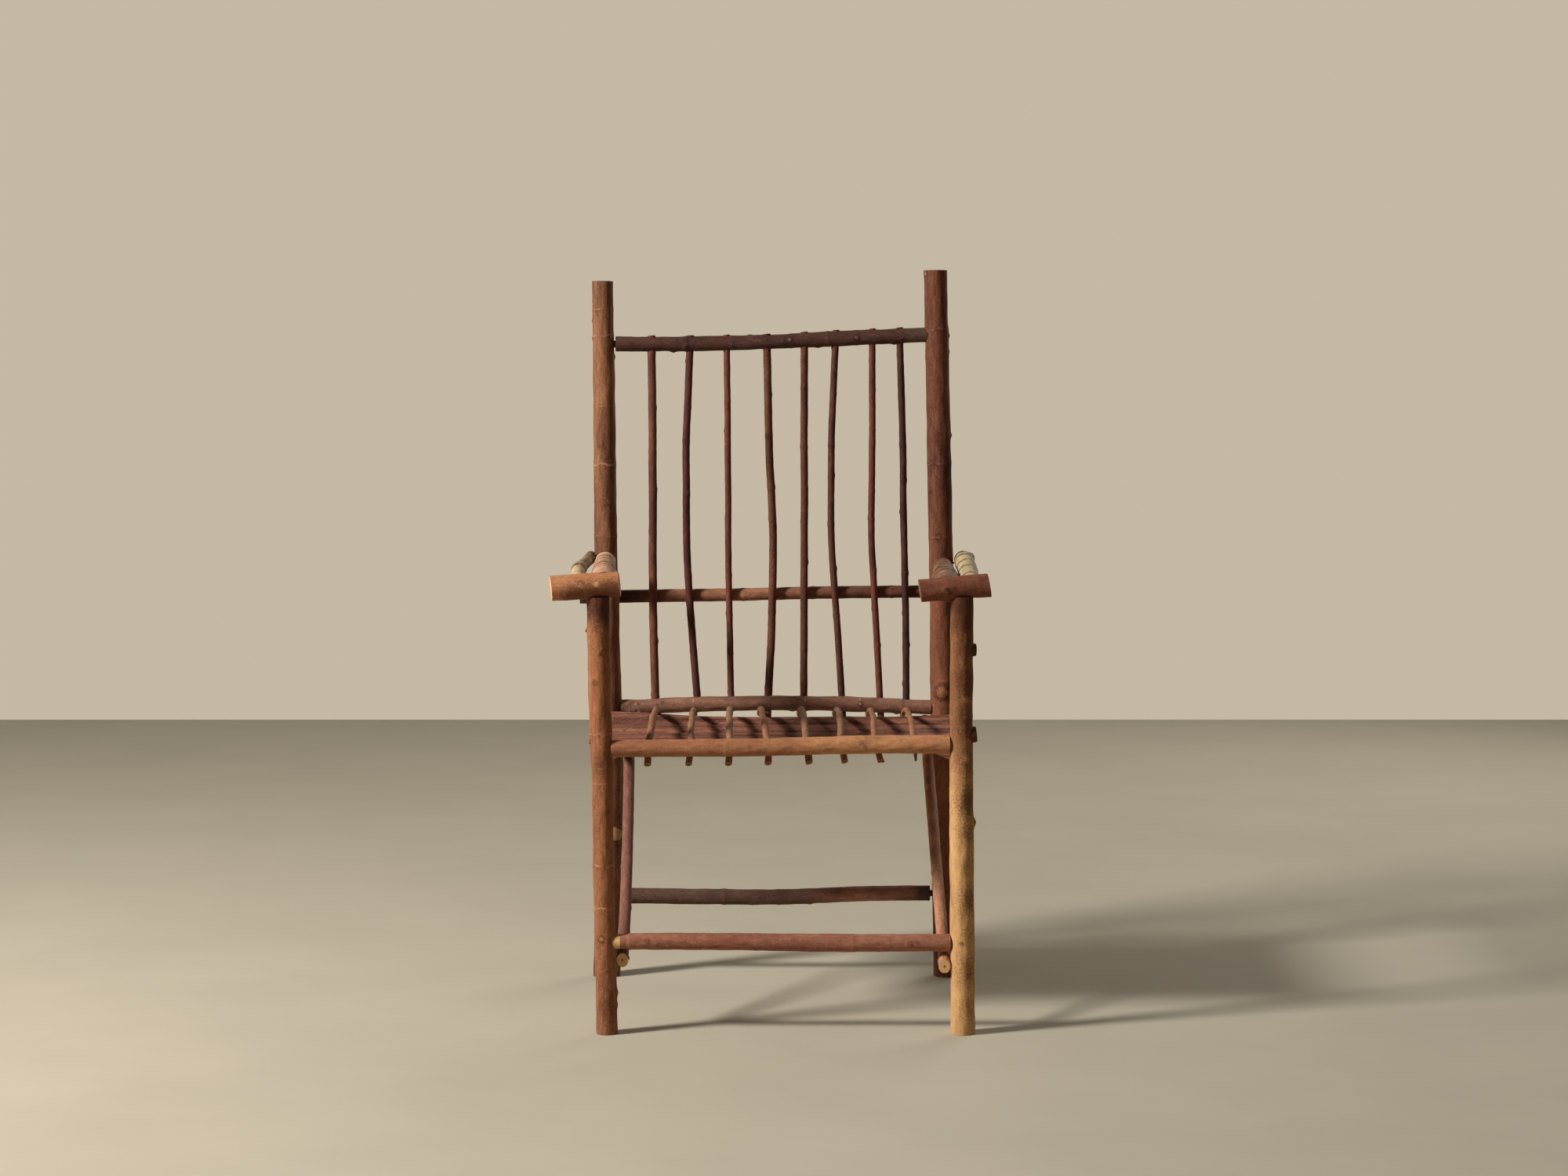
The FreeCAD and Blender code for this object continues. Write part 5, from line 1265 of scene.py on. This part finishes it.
    def arm(self, name, slot, side, material, seed, rings, knots, passes=False, swing=(0, 0), rise=0,
            fatten=1.0):
        """An arm stick from inside the cross-piece to inside the post, or past the post.

        Its node is read only where no hollow or tenon changes its section.
        """
        low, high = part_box(f"arm_crosspiece_{side}")
        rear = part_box(name)[1][Y]
        inside = (high[Y] + 4 * MM, rear - (2 * MM if passes else 34 * MM))
        lengthwise(name, material, seed, 48 if passes else 64, knots, rings,
            reach=((low[Y] + high[Y]) / 2, rear if passes else rear - 12 * MM), inside=inside,
            end_leans=(0, 0.12), calm=0.02, swing=((-0.23, swing[0]), (0.25, swing[1])), rise=((-0.2, 0),
            (0.25, rise)), fatten=fatten)


# A nail from its tip to its head: share of its length, and radius as a share of the head's
NAIL_PROFILE = ((0.0, 0.15), (0.04, 0.36), (0.3, 0.4), (0.955, 0.4), (0.957, 0.98), (0.975, 1.0),
                (0.99, 0.8), (0.998, 0.45))
NAIL_SIDES, NAIL_DOME = 20, 0.2 * MM


class TWIGCHAIR_OT_nails(bpy.types.Operator):
    """Adds the nails of the mid rail, the braces and the outer arm sticks."""

    bl_idname = "twig_chair.nails"
    bl_label = "Nails"

    def execute(self, context):
        dull = iron("dull iron")
        for name in ("mid_rail_nails", "brace_nails", "arm_nails"):
            self.add(name, dull)
        return {"FINISHED"}

    def add(self, name, material):
        """Each nail is a profile of radii turned round its axis: a domed head on a straight shank."""
        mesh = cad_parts[name].data
        corners = np.array([vertex.co[:] for vertex in mesh.vertices])
        axis = Y if name == "mid_rail_nails" else X
        others = [other for other in (X, Y, Z) if other != axis]
        side = corners[:, X] > 0
        back = corners[:, Y] > 0
        surface = Surface()
        for pick in (side & back, side & ~back, ~side & back, ~side & ~back):
            own = corners[pick]
            if len(own) == 0:
                continue
            low, high = own.min(axis=0), own.max(axis=0)
            if name == "brace_nails" and not (pick & (side | back)).any():
                low, high, own = (part + BRACE_NAIL_BACK * AXES[Y] for part in (low, high, own))
            middle = (low + high) / 2
            head_half = (high - low)[others].max() / 2
            wide = np.abs(own[:, others] - middle[others]).max(axis=1) > 0.8 * head_half
            head_at_high = own[wide, axis].mean() > middle[axis]
            tip, head = (low[axis], high[axis]) if head_at_high else (high[axis], low[axis])
            length = head - tip
            profile = np.array(NAIL_PROFILE)
            line = np.tile(middle, (len(profile), 1))
            line[:, axis] = tip + profile[:, 0] * length
            turn = np.linspace(0, FULL_TURN, NAIL_SIDES, endpoint=False)
            one, two = AXES[others[0]], AXES[others[1]]
            if np.dot(np.cross(one, two), AXES[axis]) * length < 0:
                one, two = two, one
            spoke = np.cos(turn)[:, None] * one + np.sin(turn)[:, None] * two
            grid = line[:, None] + profile[:, 1, None, None] * head_half * spoke[None]
            poles = (line[0], line[-1] + NAIL_DOME * np.sign(length) * AXES[axis])
            surface.add_grid(grid, {"bare": np.zeros(grid.shape[:2])}, poles)
        surface.make(name, "iron", material)


# The stage


CAMERA_PLACE = (19.54 * MM, -5296.2 * MM, 1106.45 * MM)
CAMERA_TILT_DEGREES, CAMERA_LENS, SENSOR_WIDTH, CLIP_END = 5.0598, 80.375, 36, 60
FLOOR_EDGE, FLOOR_BEHIND = 9, 3.445
# Name, place, the point that it shines at, its width in metres and its power in watts
LAMPS = (
    ("key lamp", (-3.5, -1.75, 3.0), (0, 0, 0.55), 0.8, 300),
    ("fill lamp", (2.2, -4.6, 1.8), (0, 0, 0.5), 2.6, 1.5),
    ("back lamp", (2.0, 2.7, 2.2), (0, 0, 0.6), 2.2, 38),
)
AIR_LIGHT, AIR_STRENGTH = seen(238, 226, 208), 0.07


class TWIGCHAIR_OT_stage(bpy.types.Operator):
    """Adds the pale floor and backdrop, the camera and the studio lamps."""

    bl_idname = "twig_chair.stage"
    bl_label = "Stage"

    def execute(self, context):
        self.floor()
        self.camera()
        for lamp in LAMPS:
            self.lamp(*lamp)
        self.world()
        context.scene.view_settings.view_transform = "Standard"
        return {"FINISHED"}

    def floor(self):
        mesh = bpy.data.meshes.new("floor")
        edge = FLOOR_EDGE
        mesh.from_pydata([(-edge, -edge, 0), (edge, -edge, 0), (edge, FLOOR_BEHIND, 0),
                          (-edge, FLOOR_BEHIND, 0)], [], [(0, 1, 2, 3)])
        mesh.materials.append(floor_finish(settings().floor_colour))
        floor = bpy.data.objects.new("floor", mesh)
        bpy.context.scene.collection.objects.link(floor)

    def camera(self):
        data = bpy.data.cameras.new("camera")
        data.sensor_width, data.lens, data.clip_end = SENSOR_WIDTH, CAMERA_LENS, CLIP_END
        camera = bpy.data.objects.new("camera", data)
        camera.location = CAMERA_PLACE
        camera.rotation_euler = (math.radians(90 - CAMERA_TILT_DEGREES), 0, 0)
        bpy.context.scene.collection.objects.link(camera)
        bpy.context.scene.camera = camera

    def lamp(self, name, place, target, size, power):
        data = bpy.data.lights.new(name, "AREA")
        data.shape, data.size, data.energy = "DISK", size, power
        lamp = bpy.data.objects.new(name, data)
        lamp.location = place
        away = np.array(place) - np.array(target)
        turn = math.atan2(away[0], -away[1])
        tip = math.atan2(math.hypot(away[0], away[1]), away[2])
        lamp.rotation_euler = (tip, 0, turn)
        bpy.context.scene.collection.objects.link(lamp)

    def world(self):
        """An even light from all round. The camera sees the backdrop's colour in its place."""
        world = bpy.data.worlds.new("studio")
        bpy.context.scene.world = world
        n = Nodes(world)
        light, backdrop = n.add("ShaderNodeBackground"), n.add("ShaderNodeBackground")
        choose = n.add("ShaderNodeMixShader")
        for value, socket in (
                (AIR_LIGHT, light.inputs["Color"]), (AIR_STRENGTH, light.inputs["Strength"]),
                (settings().wall_colour, backdrop.inputs["Color"]), (n.watched(), choose.inputs["Fac"]),
                (light.outputs["Background"], choose.inputs[1]),
                (backdrop.outputs["Background"], choose.inputs[2])):
            n.join(value, socket)
        n.join(choose.outputs["Shader"], n.add("ShaderNodeOutputWorld").inputs["Surface"])


class TWIGCHAIR_PT_panel(bpy.types.Panel):
    """Lists the pieces of the chair and their sizes."""

    bl_idname = "TWIGCHAIR_PT_panel"
    bl_label = "Twig Chair"
    bl_space_type = "VIEW_3D"
    bl_region_type = "UI"
    bl_category = "Twig Chair"

    def draw(self, context):
        for name in ChairSettings.__annotations__:
            self.layout.prop(context.scene.twig_chair, name)
        for operator in OPERATORS:
            self.layout.operator(operator.bl_idname)


OPERATORS = (
    TWIGCHAIR_OT_rear_posts, TWIGCHAIR_OT_front_legs, TWIGCHAIR_OT_back_rails, TWIGCHAIR_OT_low_rails,
    TWIGCHAIR_OT_spindles, TWIGCHAIR_OT_seat_slabs, TWIGCHAIR_OT_seat_twigs, TWIGCHAIR_OT_side_rails,
    TWIGCHAIR_OT_arms, TWIGCHAIR_OT_nails, TWIGCHAIR_OT_stage,
)
CLASSES = (ChairSettings,) + OPERATORS + (TWIGCHAIR_PT_panel,)


def register():
    for item in CLASSES:
        bpy.utils.register_class(item)
    bpy.types.Scene.twig_chair = PointerProperty(type=ChairSettings)


def unregister():
    del bpy.types.Scene.twig_chair
    for item in reversed(CLASSES):
        bpy.utils.unregister_class(item)


def main():
    register()
    for operator in OPERATORS:
        group, name = operator.bl_idname.split(".")
        getattr(getattr(bpy.ops, group), name)()


if __name__ == "__main__":
    main()
